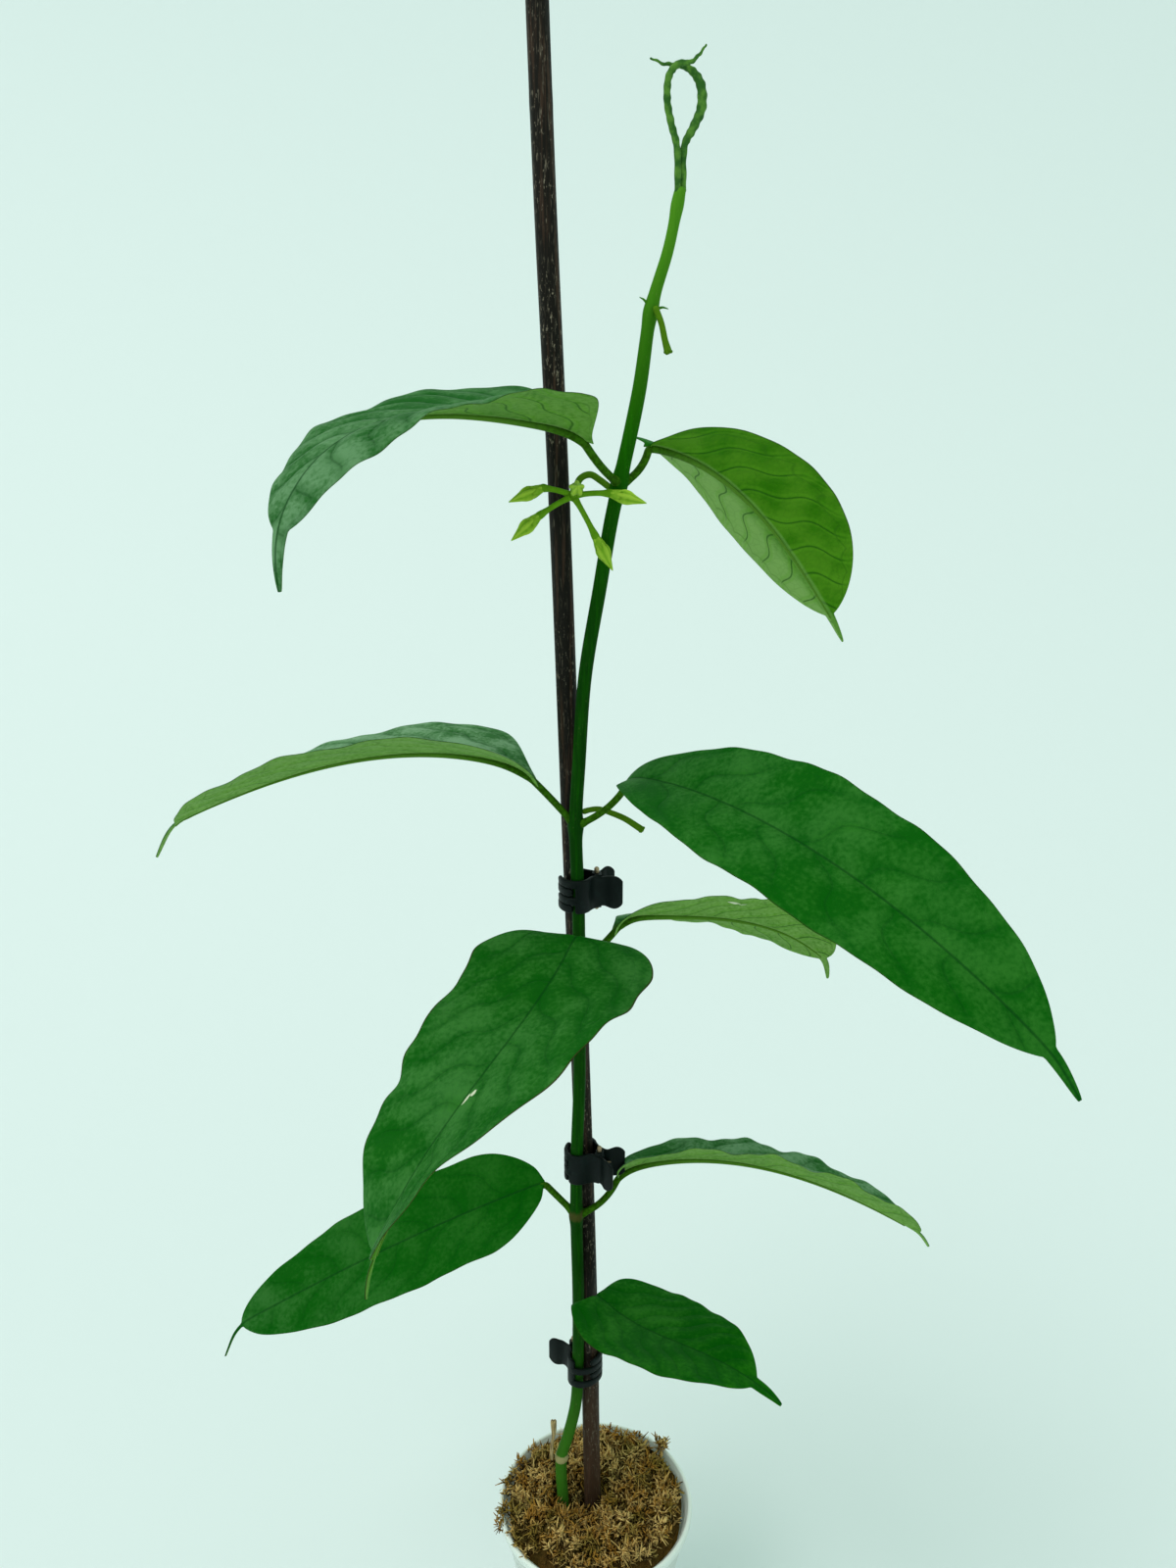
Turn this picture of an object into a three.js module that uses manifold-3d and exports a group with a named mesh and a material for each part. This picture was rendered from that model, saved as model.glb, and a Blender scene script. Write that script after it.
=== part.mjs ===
// A climbing hoya in a small nursery cup, clipped to one thin cane.
// Millimetres, +Z up. The origin is the centre of the cup's base, and -Y is the front.
// Leaves, stem, buds, cane, cup, moss and the three spring clips are separate closed solids.

import * as THREE from 'three';
import { mergeVertices } from 'three/addons/utils/BufferGeometryUtils.js';
import Module from 'manifold-3d';

const wasm = await Module();
wasm.setup();

// Driving dimensions

const GAP = 0.3;

const CUP = {
  height: 74,
  baseRadius: 26,
  topRadius: 35.6,
  rimRadius: 38,
  rimHeight: 3.6,
  rimInset: 2.6,
  rimRound: 0.6,
  neck: 0.8,
  wall: 0.9,
  floor: 1.2,
  footRound: 1.2,
  sides: 32,
};

const MOSS = {
  edgeHeight: 74.6,
  crownHeight: 79,
  dipDepth: 7,
  dipX: -6,
  dipY: -1,
  dipWidth: 9,
  lumpHeight: 1.3,
  lumpWaves: [0.61, 0.53, 0.47, 0.9],
  holeShare: 0.4,
  rings: 7,
  sides: 26,
};

const CANE = {
  radius: 3.25,
  sides: 10,
  steps: 13,
  points: [
    [0.7, 0, 8], [-1.1, 0, 71], [-3.1, 0, 180], [-5.3, 0, 257], [-8.1, 0, 345],
    [-11.8, 0, 460], [-15.2, 0, 542], [-17.8, 0, 622],
  ],
};

const STEM = {
  sides: 7,
  steps: 40,
  nodeStep: 2.4,
  points: [
    [-12.4, -2, 36], [-12.7, -2, 72], [-13.3, -2, 96.6], [-10.6, -2.5, 108], [-7.6, -3, 123.8],
    [-6.8, -3.5, 140.7], [-6.6, -4.4, 174.6], [-7.2, -5.2, 209], [-6.9, -5.7, 236], [-6, -5.9, 262],
    [-6, -5.9, 307], [-6.2, -5.9, 330], [-7, -5.9, 356.4], [-5.9, -6.1, 377], [-3.9, -6.6, 405.6],
    [0.6, -7.2, 433], [4, -7.8, 453.3], [6.3, -8, 463.8], [11.7, -9, 489.4], [15.1, -9.5, 512.6],
    [19.5, -10, 527.5], [22.3, -10, 541.6],
  ],
  rootRadius: 2.2,
  midRadius: 2.1,
  tipRadius: 1.1,
  taperFrom: 478,
  taperTo: 542,
  holeTop: 96,
  swellHeights: [97, 209, 307, 356.4, 463.6, 511, 538.5],
  swellRadius: 0.55,
  swellLength: 3.2,
  swellLoss: 0.4,
};

const PETIOLE = { radius: 1.2, ribRadius: 0.45, ribEnd: 0.5, sides: 6, pathSteps: 8, ribSteps: 5 };
const BLADE = {
  thickness: 0.8,
  rows: 16,
  ends: [0.004, 0.996],
  minHalfWidth: 0.5,
  tipPower: 1.4,
  lobeLength: 0.06,
  wavePhase: 1.3,
};
const BLADE_COLUMNS = [-1, -0.55, 0, 0.55, 1];

// Each leaf: height of its node on the stem, then angles in whole degrees (headings count from
// +X towards +Y, a positive pitch rises), and lengths in millimetres. Lists run base to tip.
const LEAVES = {
  leaf_b_left: {
    node: 463.6, stalkHeading: [240, 240], stalkPitch: [10, 65], stalk: 24,
    heading: [194, 216], pitch: [8, -16, -96], roll: [0, -12], fold: [25, -5],
    length: 113, halfWidth: 27, widest: 0.25, fullness: 2.8, lobe: 2, tip: 2.2,
    wave: 0.9, waves: 4,
  },
  leaf_b_right: {
    node: 463.6, stalkHeading: [30, 30], stalkPitch: [30, 55], stalk: 17,
    heading: [44, 38], pitch: [-10, -38, -54], roll: [-6, -24], fold: [20, 15],
    length: 123, halfWidth: 24, widest: 0.5, fullness: 2.4, lobe: 2, tip: 2.0,
    wave: 0.7, waves: 5,
  },
  leaf_c_left: {
    node: 356.4, stalkHeading: [170, 170], stalkPitch: [35, 65], stalk: 25,
    heading: [176, 178], pitch: [10, -12, -48], roll: [6, 12], fold: [20, 5],
    length: 136, halfWidth: 27, widest: 0.25, fullness: 2.0, lobe: 1, tip: 3.6,
    wave: 0.7, waves: 4,
  },
  leaf_c_right: {
    node: 356.4, stalkHeading: [-18, -18], stalkPitch: [25, 65], stalk: 26,
    heading: [-60, -34], pitch: [10, -16, -47], roll: [18, 35], fold: [15, 5],
    length: 167, halfWidth: 23, widest: 0.4, fullness: 2.0, lobe: 0, tip: 2.6,
    wave: 0.8, waves: 5,
  },
  leaf_d_front: {
    node: 307, stalkHeading: [270, 270], stalkPitch: [25, 75], stalk: 20,
    heading: [256, 206], pitch: [-8, -30, -78], roll: [-4, 20], fold: [0, 30],
    length: 132, halfWidth: 29, widest: 0.2, fullness: 2.8, lobe: 3, tip: 3.6,
    wave: 1.6, waves: 4,
  },
  leaf_d_back: {
    node: 307, stalkHeading: [40, 40], stalkPitch: [15, 50], stalk: 23,
    heading: [38, 0], pitch: [-18, -16, -64], roll: [-20, 20], fold: [0, 10],
    length: 100, halfWidth: 20, widest: 0.5, fullness: 2.4, lobe: 1, tip: 3.6,
    wave: 1.2, waves: 4,
  },
  leaf_e_left: {
    node: 209, stalkHeading: [165, 165], stalkPitch: [35, 55], stalk: 18,
    heading: [188, 192], pitch: [-26, -22, -44], roll: [-18, -30], fold: [10, -5],
    length: 131, halfWidth: 20, widest: 0.25, fullness: 2.2, lobe: 0, tip: 3.0,
    wave: 0.8, waves: 4,
  },
  leaf_e_right: {
    node: 209, stalkHeading: [0, 50], stalkPitch: [14, 78], stalk: 27,
    heading: [12, -14], pitch: [4, -18, -32], roll: [-24, -16], fold: [20, 25],
    length: 120, halfWidth: 16, widest: 0.5, fullness: 2.4, lobe: 0, tip: 3.6,
    wave: 1.0, waves: 5,
  },
  leaf_f_front: {
    node: 161, stalkHeading: [-45, -45], stalkPitch: [35, 90], stalk: 20,
    heading: [-42, -18], pitch: [-12, -2, -38], roll: [-12, -16], fold: [5, 10],
    length: 75, halfWidth: 25, widest: 0.35, fullness: 2.6, lobe: 4, tip: 2.6,
    wave: 0.6, waves: 3,
  },
};

// A bud's profile gives shares of its length and radius, from the calyx to the point.
const BUD = {
  length: 11,
  radius: 1.95,
  ridge: 0.12,
  ridges: 5,
  sides: 10,
  profile: [[0, 0.64], [0.1, 0.7], [0.24, 0.86], [0.42, 1], [0.62, 0.74], [0.84, 0.36], [1, 0.1]],
};
const STALK = { sides: 6, steps: 9 };
const PEDICEL = { radius: 0.9, steps: 4 };
const UMBEL = [-7.3, -12, 460.4];
const BUDS = [
  { end: [-16.1, -12, 462.6], tip: [-26.2, -12, 458.6] },
  { end: [-17.2, -15.6, 454.9], tip: [-28.5, -18, 445.2] },
  { end: [-0.7, -13.8, 448.6], tip: [5.1, -14.4, 437.4] },
  { end: [3.4, -15.6, 461.2], tip: [15.9, -17, 458] },
  { end: [-6.4, -22, 462.4], tip: [-5.8, -33.2, 464] },
];
const FLOWER_STALK = {
  radius: 1.0,
  heartRadius: 1.7,
  points: [[3.1, -7.2, 462.8], [0.6, -6.2, 464.6], [-2.2, -6.3, 466.2], [-5.2, -8.4, 465.2], UMBEL],
};
const BARE_STALKS = {
  flower_stalk_top: {
    points: [[16.1, -12.5, 511.4], [17.6, -13.4, 507.6], [18.7, -13.8, 503], [19.5, -13.9, 500.4]],
    radii: [0.9, 0.85, 0.9, 1.5],
  },
  flower_stalk_middle: {
    points: [[-4.1, -5.1, 361], [-2.4, -4.5, 361.3], [0.6, -4, 361.4], [4.6, -4.4, 360.2],
      [9, -5.6, 358.6], [14, -7.4, 355.8]],
    radii: [0.95, 0.9, 0.9, 0.95, 1.4],
  },
};
const YOUNG_STEPS = 22;
const YOUNG_LEAVES = {
  young_leaf_left: {
    points: [
      [21.6, -10.7, 542.1], [21.1, -10.6, 553], [19.5, -10.2, 558.6], [18.3, -10.2, 564.5],
      [18.8, -10.8, 570.2], [21.2, -11.4, 572.6], [24.4, -11.4, 573], [26.8, -11, 575],
      [28.5, -10.7, 577.3],
    ],
    radii: [0.65, 0.7, 0.75, 0.8, 0.8, 0.8, 0.45, 0.3, 0.2],
  },
  young_leaf_right: {
    points: [
      [23.1, -9.3, 542.3], [23.3, -9.6, 553.4], [25.5, -9.8, 557.6], [27.6, -9.8, 562.5],
      [27.2, -9.3, 568.4], [24.6, -8.8, 571.8], [21, -8.7, 573], [17.4, -9.2, 573.1],
      [13.8, -9.6, 574.4],
    ],
    radii: [0.65, 0.7, 1.0, 1.15, 1.05, 0.85, 0.45, 0.3, 0.2],
  },
};
const DRY_STUB = {
  points: [[-17, -3.4, 97.5], [-16.9, -3.4, 104], [-16.2, -3.2, 109], [-16.2, -3, 114.5]],
  radii: [0.95, 0.75, 0.7, 0.85],
};
const BRACT = { radius: 0.8, tipRadius: 0.25, sides: 5 };
const BRACTS = [
  { from: [14.6, -9.8, 511.8], to: [11.7, -10.6, 514.6] },
  { from: [15.8, -9.2, 511.4], to: [19.6, -8.2, 511.9] },
];

const CLIP = {
  heights: { clip_top: 332.6, clip_middle: 229.6, clip_bottom: 140.2 },
  pinOnLeft: { clip_bottom: true },
  height: 10.8,
  reach: 12,
  wall: 1.1,
  ringX: 4.5,
  ringY: 5.95,
  ringSteps: 12,
  ringLeave: 40,
  frontTipPast: 10,
  backTipPast: 32,
  bands: 4,
  slotX: -1.6,
  stripY: 2.6,
  stripFrom: 5.4,
  stripTo: 9.6,
  stripFlare: 0.4,
  wingBend: [11.6, 4.6],
  wingX: 14.6,
  wingY: 5.8,
  wingRound: 3.4,
};
const PIN = { x: 7.2, radius: 0.75, up: 7.4, down: 6.6, sides: 10 };
const KNUCKLE = { radius: 1.6, height: 1.8, web: 1 };
const COIL = {
  radius: 1.3,
  wire: 0.25,
  turns: 3,
  perTurn: 8,
  height: 2.1,
  startAngle: 0.9,
  leg: [3.4, 2],
  sides: 4,
};

// Small maths helpers

const DEG = Math.PI / 180;
const vec = (p) => new THREE.Vector3(...p);
const mix = (a, b, t) => a + (b - a) * t;

// The parabola through three values at u = 0, 0.5 and 1.
function throughThree([a, b, c], u) {
  return a * (1 - u) * (1 - 2 * u) + b * 4 * u * (1 - u) + c * u * (2 * u - 1);
}

function direction(pitch, heading) {
  const flat = Math.cos(pitch);
  return new THREE.Vector3(flat * Math.cos(heading), flat * Math.sin(heading), Math.sin(pitch));
}

function smoothCurve(points) {
  return new THREE.CatmullRomCurve3(points.map(vec), false, 'centripetal');
}

// The point of a rising curve at one height, by halving.
function pointAtHeight(curve, z) {
  let low = 0;
  let high = 1;
  for (let i = 0; i < 40; i += 1) {
    const middle = (low + high) / 2;
    if (curve.getPoint(middle).z < z) low = middle;
    else high = middle;
  }
  return curve.getPoint((low + high) / 2);
}

// Geometry and solids

function geometryFrom(vertices, triangles) {
  const geometry = new THREE.BufferGeometry();
  geometry.setAttribute('position', new THREE.Float32BufferAttribute(vertices, 3));
  geometry.setIndex(triangles);
  return geometry;
}

function toSolid(geometry) {
  const bare = geometry.clone();
  bare.deleteAttribute('normal');
  bare.deleteAttribute('uv');
  const merged = mergeVertices(bare, 1e-4);
  return new wasm.Manifold(new wasm.Mesh({
    numProp: 3,
    vertProperties: new Float32Array(merged.attributes.position.array),
    triVerts: new Uint32Array(merged.index.array),
  }));
}

function toGeometry(solid) {
  const mesh = solid.getMesh();
  return geometryFrom(Array.from(mesh.vertProperties), Array.from(mesh.triVerts));
}

function join(geometries) {
  return toGeometry(geometries.map(toSolid).reduce((a, b) => a.add(b)));
}

function cut(body, tools) {
  return toGeometry(tools.map(toSolid).reduce((a, b) => a.subtract(b), toSolid(body)));
}

function overlapOf(a, b) {
  return toGeometry(toSolid(a).intersect(toSolid(b)));
}

// A closed round tube along a list of points, with one radius for each point.
function tubeAlong(points, radii, sides) {
  const vertices = [];
  const triangles = [];
  let across = null;
  points.forEach((point, i) => {
    const before = points[Math.max(i - 1, 0)];
    const after = points[Math.min(i + 1, points.length - 1)];
    const along = after.clone().sub(before).normalize();
    if (across === null) {
      const seed = Math.abs(along.y) < 0.9 ? new THREE.Vector3(0, 1, 0) : new THREE.Vector3(1, 0, 0);
      across = seed;
    }
    across = across.clone().addScaledVector(along, -across.dot(along)).normalize();
    const side = along.clone().cross(across);
    for (let k = 0; k < sides; k += 1) {
      const angle = (k / sides) * 2 * Math.PI;
      const rim = point.clone()
        .addScaledVector(across, radii[i] * Math.cos(angle))
        .addScaledVector(side, radii[i] * Math.sin(angle));
      vertices.push(rim.x, rim.y, rim.z);
    }
  });
  const last = points.length - 1;
  for (let i = 0; i < last; i += 1) {
    for (let k = 0; k < sides; k += 1) {
      const a = i * sides + k;
      const b = i * sides + ((k + 1) % sides);
      triangles.push(a, b, b + sides, a, b + sides, a + sides);
    }
  }
  const startCentre = vertices.length / 3;
  vertices.push(...points[0].toArray());
  vertices.push(...points[last].toArray());
  for (let k = 0; k < sides; k += 1) {
    const next = (k + 1) % sides;
    triangles.push(startCentre, next, k);
    triangles.push(startCentre + 1, last * sides + k, last * sides + next);
  }
  return geometryFrom(vertices, triangles);
}

// A tube whose list of points is smoothed and whose radii are read off evenly.
function smoothTube(points, radii, sides, steps) {
  const curve = smoothCurve(points);
  const path = [];
  const sizes = [];
  for (let i = 0; i <= steps; i += 1) {
    const t = i / steps;
    const slot = Math.min(t * (radii.length - 1), radii.length - 1.001);
    const k = Math.floor(slot);
    path.push(curve.getPoint(t));
    sizes.push(mix(radii[k], radii[k + 1], slot - k));
  }
  return tubeAlong(path, sizes, sides);
}

function uprightCylinder(radius, bottom, top, sides) {
  const geometry = new THREE.CylinderGeometry(radius, radius, top - bottom, sides);
  geometry.rotateX(Math.PI / 2);
  geometry.translate(0, 0, (top + bottom) / 2);
  return geometry;
}

function boxBetween(low, high) {
  const size = high.map((value, i) => value - low[i]);
  const geometry = new THREE.BoxGeometry(...size);
  geometry.translate(...high.map((value, i) => (value + low[i]) / 2));
  return geometry;
}

// Cup and moss

function cupInnerRadius(z) {
  const wallTop = CUP.height - CUP.rimHeight;
  const t = Math.min(Math.max(z / wallTop, 0), 1);
  return mix(CUP.baseRadius, CUP.topRadius, t) - CUP.wall;
}

function makeCup() {
  const wallTop = CUP.height - CUP.rimHeight;
  const rimInner = CUP.rimRadius - CUP.rimInset;
  const round = CUP.rimRound;
  const profile = [
    [0, 0],
    [CUP.baseRadius - CUP.footRound, 0],
    [CUP.baseRadius, CUP.footRound],
    [CUP.topRadius, wallTop - round],
    [CUP.rimRadius - round, wallTop],
    [CUP.rimRadius, wallTop + round],
    [CUP.rimRadius, CUP.height - round],
    [CUP.rimRadius - round, CUP.height],
    [rimInner + round, CUP.height],
    [rimInner, CUP.height - round],
    [cupInnerRadius(wallTop), wallTop - CUP.neck],
    [cupInnerRadius(CUP.floor), CUP.floor],
    [0, CUP.floor],
  ];
  const points = profile.map(([r, z]) => new THREE.Vector2(r, z));
  const geometry = new THREE.LatheGeometry(points, CUP.sides);
  geometry.rotateX(Math.PI / 2);
  return geometry;
}

// Height of the moss at a place: a low crown, a dip round the stems, and lumps by sines.
function mossHeight(x, y) {
  const edge = cupInnerRadius(CUP.height) - GAP;
  const r2 = (x * x + y * y) / (edge * edge);
  const crown = mix(MOSS.crownHeight, MOSS.edgeHeight, Math.min(r2 * r2, 1));
  const away = ((x - MOSS.dipX) ** 2 + (y - MOSS.dipY) ** 2) / (MOSS.dipWidth ** 2);
  const dip = MOSS.dipDepth * Math.exp(-away);
  const [a, b, c, d] = MOSS.lumpWaves;
  const lumps = Math.sin(a * x + 1) * Math.cos(b * y) + 0.6 * Math.sin(d * y - c * x);
  return crown - dip + MOSS.lumpHeight * lumps * (1 - 0.6 * r2);
}

function makeMoss(holes) {
  const { rings, sides } = MOSS;
  const vertices = [];
  const triangles = [];
  const bottom = CUP.floor + GAP;
  const edge = cupInnerRadius(CUP.height - CUP.rimHeight - CUP.neck) - GAP;
  const addRing = (radius, heightAt) => {
    for (let k = 0; k < sides; k += 1) {
      const angle = (k / sides) * 2 * Math.PI;
      const x = radius * Math.cos(angle);
      const y = radius * Math.sin(angle);
      vertices.push(x, y, heightAt(x, y));
    }
  };
  addRing(cupInnerRadius(bottom) - 1.5 * GAP, () => bottom);
  for (let i = rings; i >= 1; i -= 1) addRing((edge * i) / rings, mossHeight);
  for (let i = 0; i < rings; i += 1) {
    for (let k = 0; k < sides; k += 1) {
      const next = (k + 1) % sides;
      const a = i * sides + k;
      const b = i * sides + next;
      triangles.push(a, b, b + sides, a, b + sides, a + sides);
    }
  }
  const bottomCentre = vertices.length / 3;
  vertices.push(0, 0, bottom);
  vertices.push(0, 0, mossHeight(0, 0));
  for (let k = 0; k < sides; k += 1) {
    const next = (k + 1) % sides;
    triangles.push(bottomCentre, next, k);
    triangles.push(bottomCentre + 1, rings * sides + k, rings * sides + next);
  }
  return cut(geometryFrom(vertices, triangles), holes);
}

// Cane and stem

const caneCurve = smoothCurve(CANE.points);
const stemCurve = smoothCurve(STEM.points);

function makeCane(extra = 0, top = 1) {
  const path = [];
  const steps = CANE.steps;
  for (let i = 0; i <= steps; i += 1) path.push(caneCurve.getPoint((top * i) / steps));
  if (extra > 0) path[0].z -= extra;
  return tubeAlong(path, path.map(() => CANE.radius + extra), CANE.sides);
}

function stemRadius(z) {
  const taper = THREE.MathUtils.smoothstep(z, STEM.taperFrom, STEM.taperTo);
  const plain = mix(mix(STEM.rootRadius, STEM.midRadius, z / STEM.taperTo), STEM.tipRadius, taper);
  const swell = STEM.swellHeights
    .map((height) => STEM.swellRadius * Math.exp(-(((z - height) / STEM.swellLength) ** 2)))
    .reduce((a, b) => a + b);
  return plain + swell * (1 - STEM.swellLoss * taper);
}

// Stem path: even steps, with three close ones at each swollen node.
function stemPath() {
  const heights = [];
  const low = STEM.points[0][2];
  const high = STEM.points[STEM.points.length - 1][2];
  const close = STEM.swellHeights.flatMap((z) => [z - STEM.nodeStep, z, z + STEM.nodeStep]);
  for (let i = 0; i <= STEM.steps; i += 1) {
    const z = mix(low, high, i / STEM.steps);
    if (close.every((other) => Math.abs(other - z) > STEM.nodeStep)) heights.push(z);
  }
  const inside = close.filter((z) => z > low && z < high);
  return [...heights, ...inside].sort((a, b) => a - b).map((z) => pointAtHeight(stemCurve, z));
}

function makeStem() {
  const path = stemPath();
  const body = tubeAlong(path, path.map((p) => stemRadius(p.z)), STEM.sides);
  const sizes = [BRACT.radius, BRACT.tipRadius];
  const bracts = BRACTS.map(({ from, to }) => tubeAlong([vec(from), vec(to)], sizes, BRACT.sides));
  return join([body, ...bracts]);
}

function makeStemHole() {
  const path = stemPath().filter((p) => p.z < STEM.holeTop);
  path[0].z -= GAP;
  return tubeAlong(path, path.map((p) => stemRadius(p.z) + GAP), STEM.sides);
}

// Leaves

// Half width along the blade: a superellipse to the widest place, then a drawn-out tip.
function halfWidth(leaf, u) {
  if (u < leaf.widest) {
    const rest = 1 - Math.abs(1 - u / leaf.widest) ** leaf.fullness;
    return leaf.halfWidth * Math.max(rest, 0) ** (1 / leaf.fullness);
  }
  const t = (u - leaf.widest) / (1 - leaf.widest);
  return leaf.halfWidth * Math.max(1 - t ** leaf.tip, 0) ** BLADE.tipPower;
}

// The petiole's points, from the stem's centre line to the blade.
function petiolePoints(leaf, start) {
  const steps = PETIOLE.pathSteps;
  const points = [start.clone()];
  for (let i = 0; i < steps; i += 1) {
    const pitch = mix(...leaf.stalkPitch, (i + 0.5) / steps) * DEG;
    const heading = mix(...leaf.stalkHeading, (i + 0.5) / steps) * DEG;
    const step = direction(pitch, heading).multiplyScalar(leaf.stalk / steps);
    points.push(points[i].clone().add(step));
  }
  return points;
}

// The midrib as a list of frames: place, tangent, sideways and normal at each u.
function midribFrames(leaf, start, stations) {
  const fine = 120;
  const at = (u) => direction(
    throughThree(leaf.pitch, u) * DEG,
    mix(...leaf.heading, u) * DEG,
  );
  const line = [start.clone()];
  for (let i = 0; i < fine; i += 1) {
    line.push(line[i].clone().addScaledVector(at((i + 0.5) / fine), leaf.length / fine));
  }
  return stations.map((u) => {
    const k = Math.min(Math.floor(u * fine), fine - 1);
    const place = line[k].clone().lerp(line[k + 1], u * fine - k);
    const tangent = at(u);
    const heading = mix(...leaf.heading, u) * DEG;
    const side = new THREE.Vector3(-Math.sin(heading), Math.cos(heading), 0);
    const normal = tangent.clone().cross(side);
    const roll = mix(...leaf.roll, u) * DEG;
    const across = side.clone().multiplyScalar(Math.cos(roll)).addScaledVector(normal, Math.sin(roll));
    const up = normal.clone().multiplyScalar(Math.cos(roll)).addScaledVector(side, -Math.sin(roll));
    return { u, place, tangent, across, up };
  });
}

// One blade: the middle surface thickened evenly, both faces split into triangles alike.
function makeBlade(leaf, start) {
  const { rows, thickness, minHalfWidth } = BLADE;
  const columns = BLADE_COLUMNS.length;
  const stations = [];
  for (let i = 0; i <= rows; i += 1) {
    const s = i / rows;
    const eased = 0.45 * s + 0.275 * (1 - Math.cos(Math.PI * s));
    stations.push(mix(...BLADE.ends, eased));
  }
  const frames = midribFrames(leaf, start, stations);
  const top = [];
  const bottom = [];
  frames.forEach(({ u, place, tangent, across, up }) => {
    const width = Math.max(halfWidth(leaf, u), minHalfWidth);
    const fold = mix(...leaf.fold, u) * DEG;
    BLADE_COLUMNS.forEach((v) => {
      const reach = Math.abs(v);
      const phase = 2 * Math.PI * leaf.waves * u + (v > 0 ? BLADE.wavePhase : 0);
      const wavy = leaf.wave * Math.sin(phase) * reach ** 3 * Math.sin(Math.PI * u);
      const point = place.clone()
        .addScaledVector(across, v * width * Math.cos(fold))
        .addScaledVector(up, reach * width * Math.sin(fold) + wavy)
        .addScaledVector(tangent, -leaf.lobe * Math.exp(-u / BLADE.lobeLength) * reach ** 1.5);
      const face = up.clone().multiplyScalar(v === 0 ? 1 : Math.cos(fold))
        .addScaledVector(across, v === 0 ? 0 : -Math.sign(v) * Math.sin(fold));
      top.push(...point.clone().addScaledVector(face, thickness / 2).toArray());
      bottom.push(...point.clone().addScaledVector(face, -thickness / 2).toArray());
    });
  });
  const triangles = [];
  const under = frames.length * columns;
  const quad = (a, b, c, d) => triangles.push(a, b, c, a, c, d);
  for (let i = 0; i < rows; i += 1) {
    for (let k = 0; k < columns - 1; k += 1) {
      const a = i * columns + k;
      const c = a + columns;
      quad(a, c, c + 1, a + 1);
      triangles.push(under + a, under + c + 1, under + c);
      triangles.push(under + a, under + a + 1, under + c + 1);
    }
    const right = i * columns;
    const left = right + columns - 1;
    quad(right, under + right, under + right + columns, right + columns);
    quad(left, left + columns, under + left + columns, under + left);
  }
  const end = rows * columns;
  for (let k = 0; k < columns - 1; k += 1) {
    quad(k, k + 1, under + k + 1, under + k);
    quad(end + k, under + end + k, under + end + k + 1, end + k + 1);
  }
  return geometryFrom([...top, ...bottom], triangles);
}

// The stalk runs on as the raised rib under the blade.
function makeRib(leaf, stalk) {
  const start = stalk[stalk.length - 1];
  const stations = [];
  const { ribSteps, ribEnd } = PETIOLE;
  for (let i = 1; i <= ribSteps; i += 1) stations.push((ribEnd * i) / ribSteps);
  const points = [...stalk];
  const radii = stalk.map(() => PETIOLE.radius);
  midribFrames(leaf, start, stations).forEach(({ u, place, up }) => {
    const radius = mix(PETIOLE.radius, PETIOLE.ribRadius, u / ribEnd);
    points.push(place.clone().addScaledVector(up, -BLADE.thickness / 2 - 0.35 * radius));
    radii.push(radius);
  });
  const trimmed = trimStart(points, leaf.stalkPitch[0] * DEG);
  return tubeAlong(trimmed, radii.slice(points.length - trimmed.length), PETIOLE.sides);
}

// How far a point stands outside the stem, measured level.
function awayFromStem(point) {
  const axis = pointAtHeight(stemCurve, point.z);
  return Math.hypot(point.x - axis.x, point.y - axis.y) - stemRadius(point.z);
}

// Cuts a stalk back so that its flat end stands just clear of the stem.
function trimStart(points, pitch) {
  const needed = 1.3 * GAP + PETIOLE.radius * Math.sin(pitch);
  const substeps = 20;
  for (let i = 1; i < points.length; i += 1) {
    for (let k = 0; k < substeps; k += 1) {
      const first = points[i - 1].clone().lerp(points[i], k / substeps);
      if (awayFromStem(first) > needed) {
        const rest = k > 0.7 * substeps ? points.slice(i + 1) : points.slice(i);
        return [first, ...rest];
      }
    }
  }
  return points;
}

function makeLeaf(leaf) {
  const stalk = petiolePoints(leaf, pointAtHeight(stemCurve, leaf.node));
  const blade = makeBlade(leaf, stalk[stalk.length - 1]);
  return join([blade, makeRib(leaf, stalk)]);
}

// Flowers

function makeUmbel() {
  const { points, radius, heartRadius } = FLOWER_STALK;
  const stalk = smoothTube(points, [radius, radius], STALK.sides, STALK.steps);
  const pedicels = BUDS.map(({ end }) => {
    const path = [];
    for (let i = 0; i <= PEDICEL.steps; i += 1) path.push(vec(UMBEL).lerp(vec(end), i / PEDICEL.steps));
    return tubeAlong(path, path.map(() => PEDICEL.radius), STALK.sides);
  });
  const heart = new THREE.IcosahedronGeometry(heartRadius, 1);
  heart.translate(...UMBEL);
  return join([stalk, heart, ...pedicels]);
}

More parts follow.
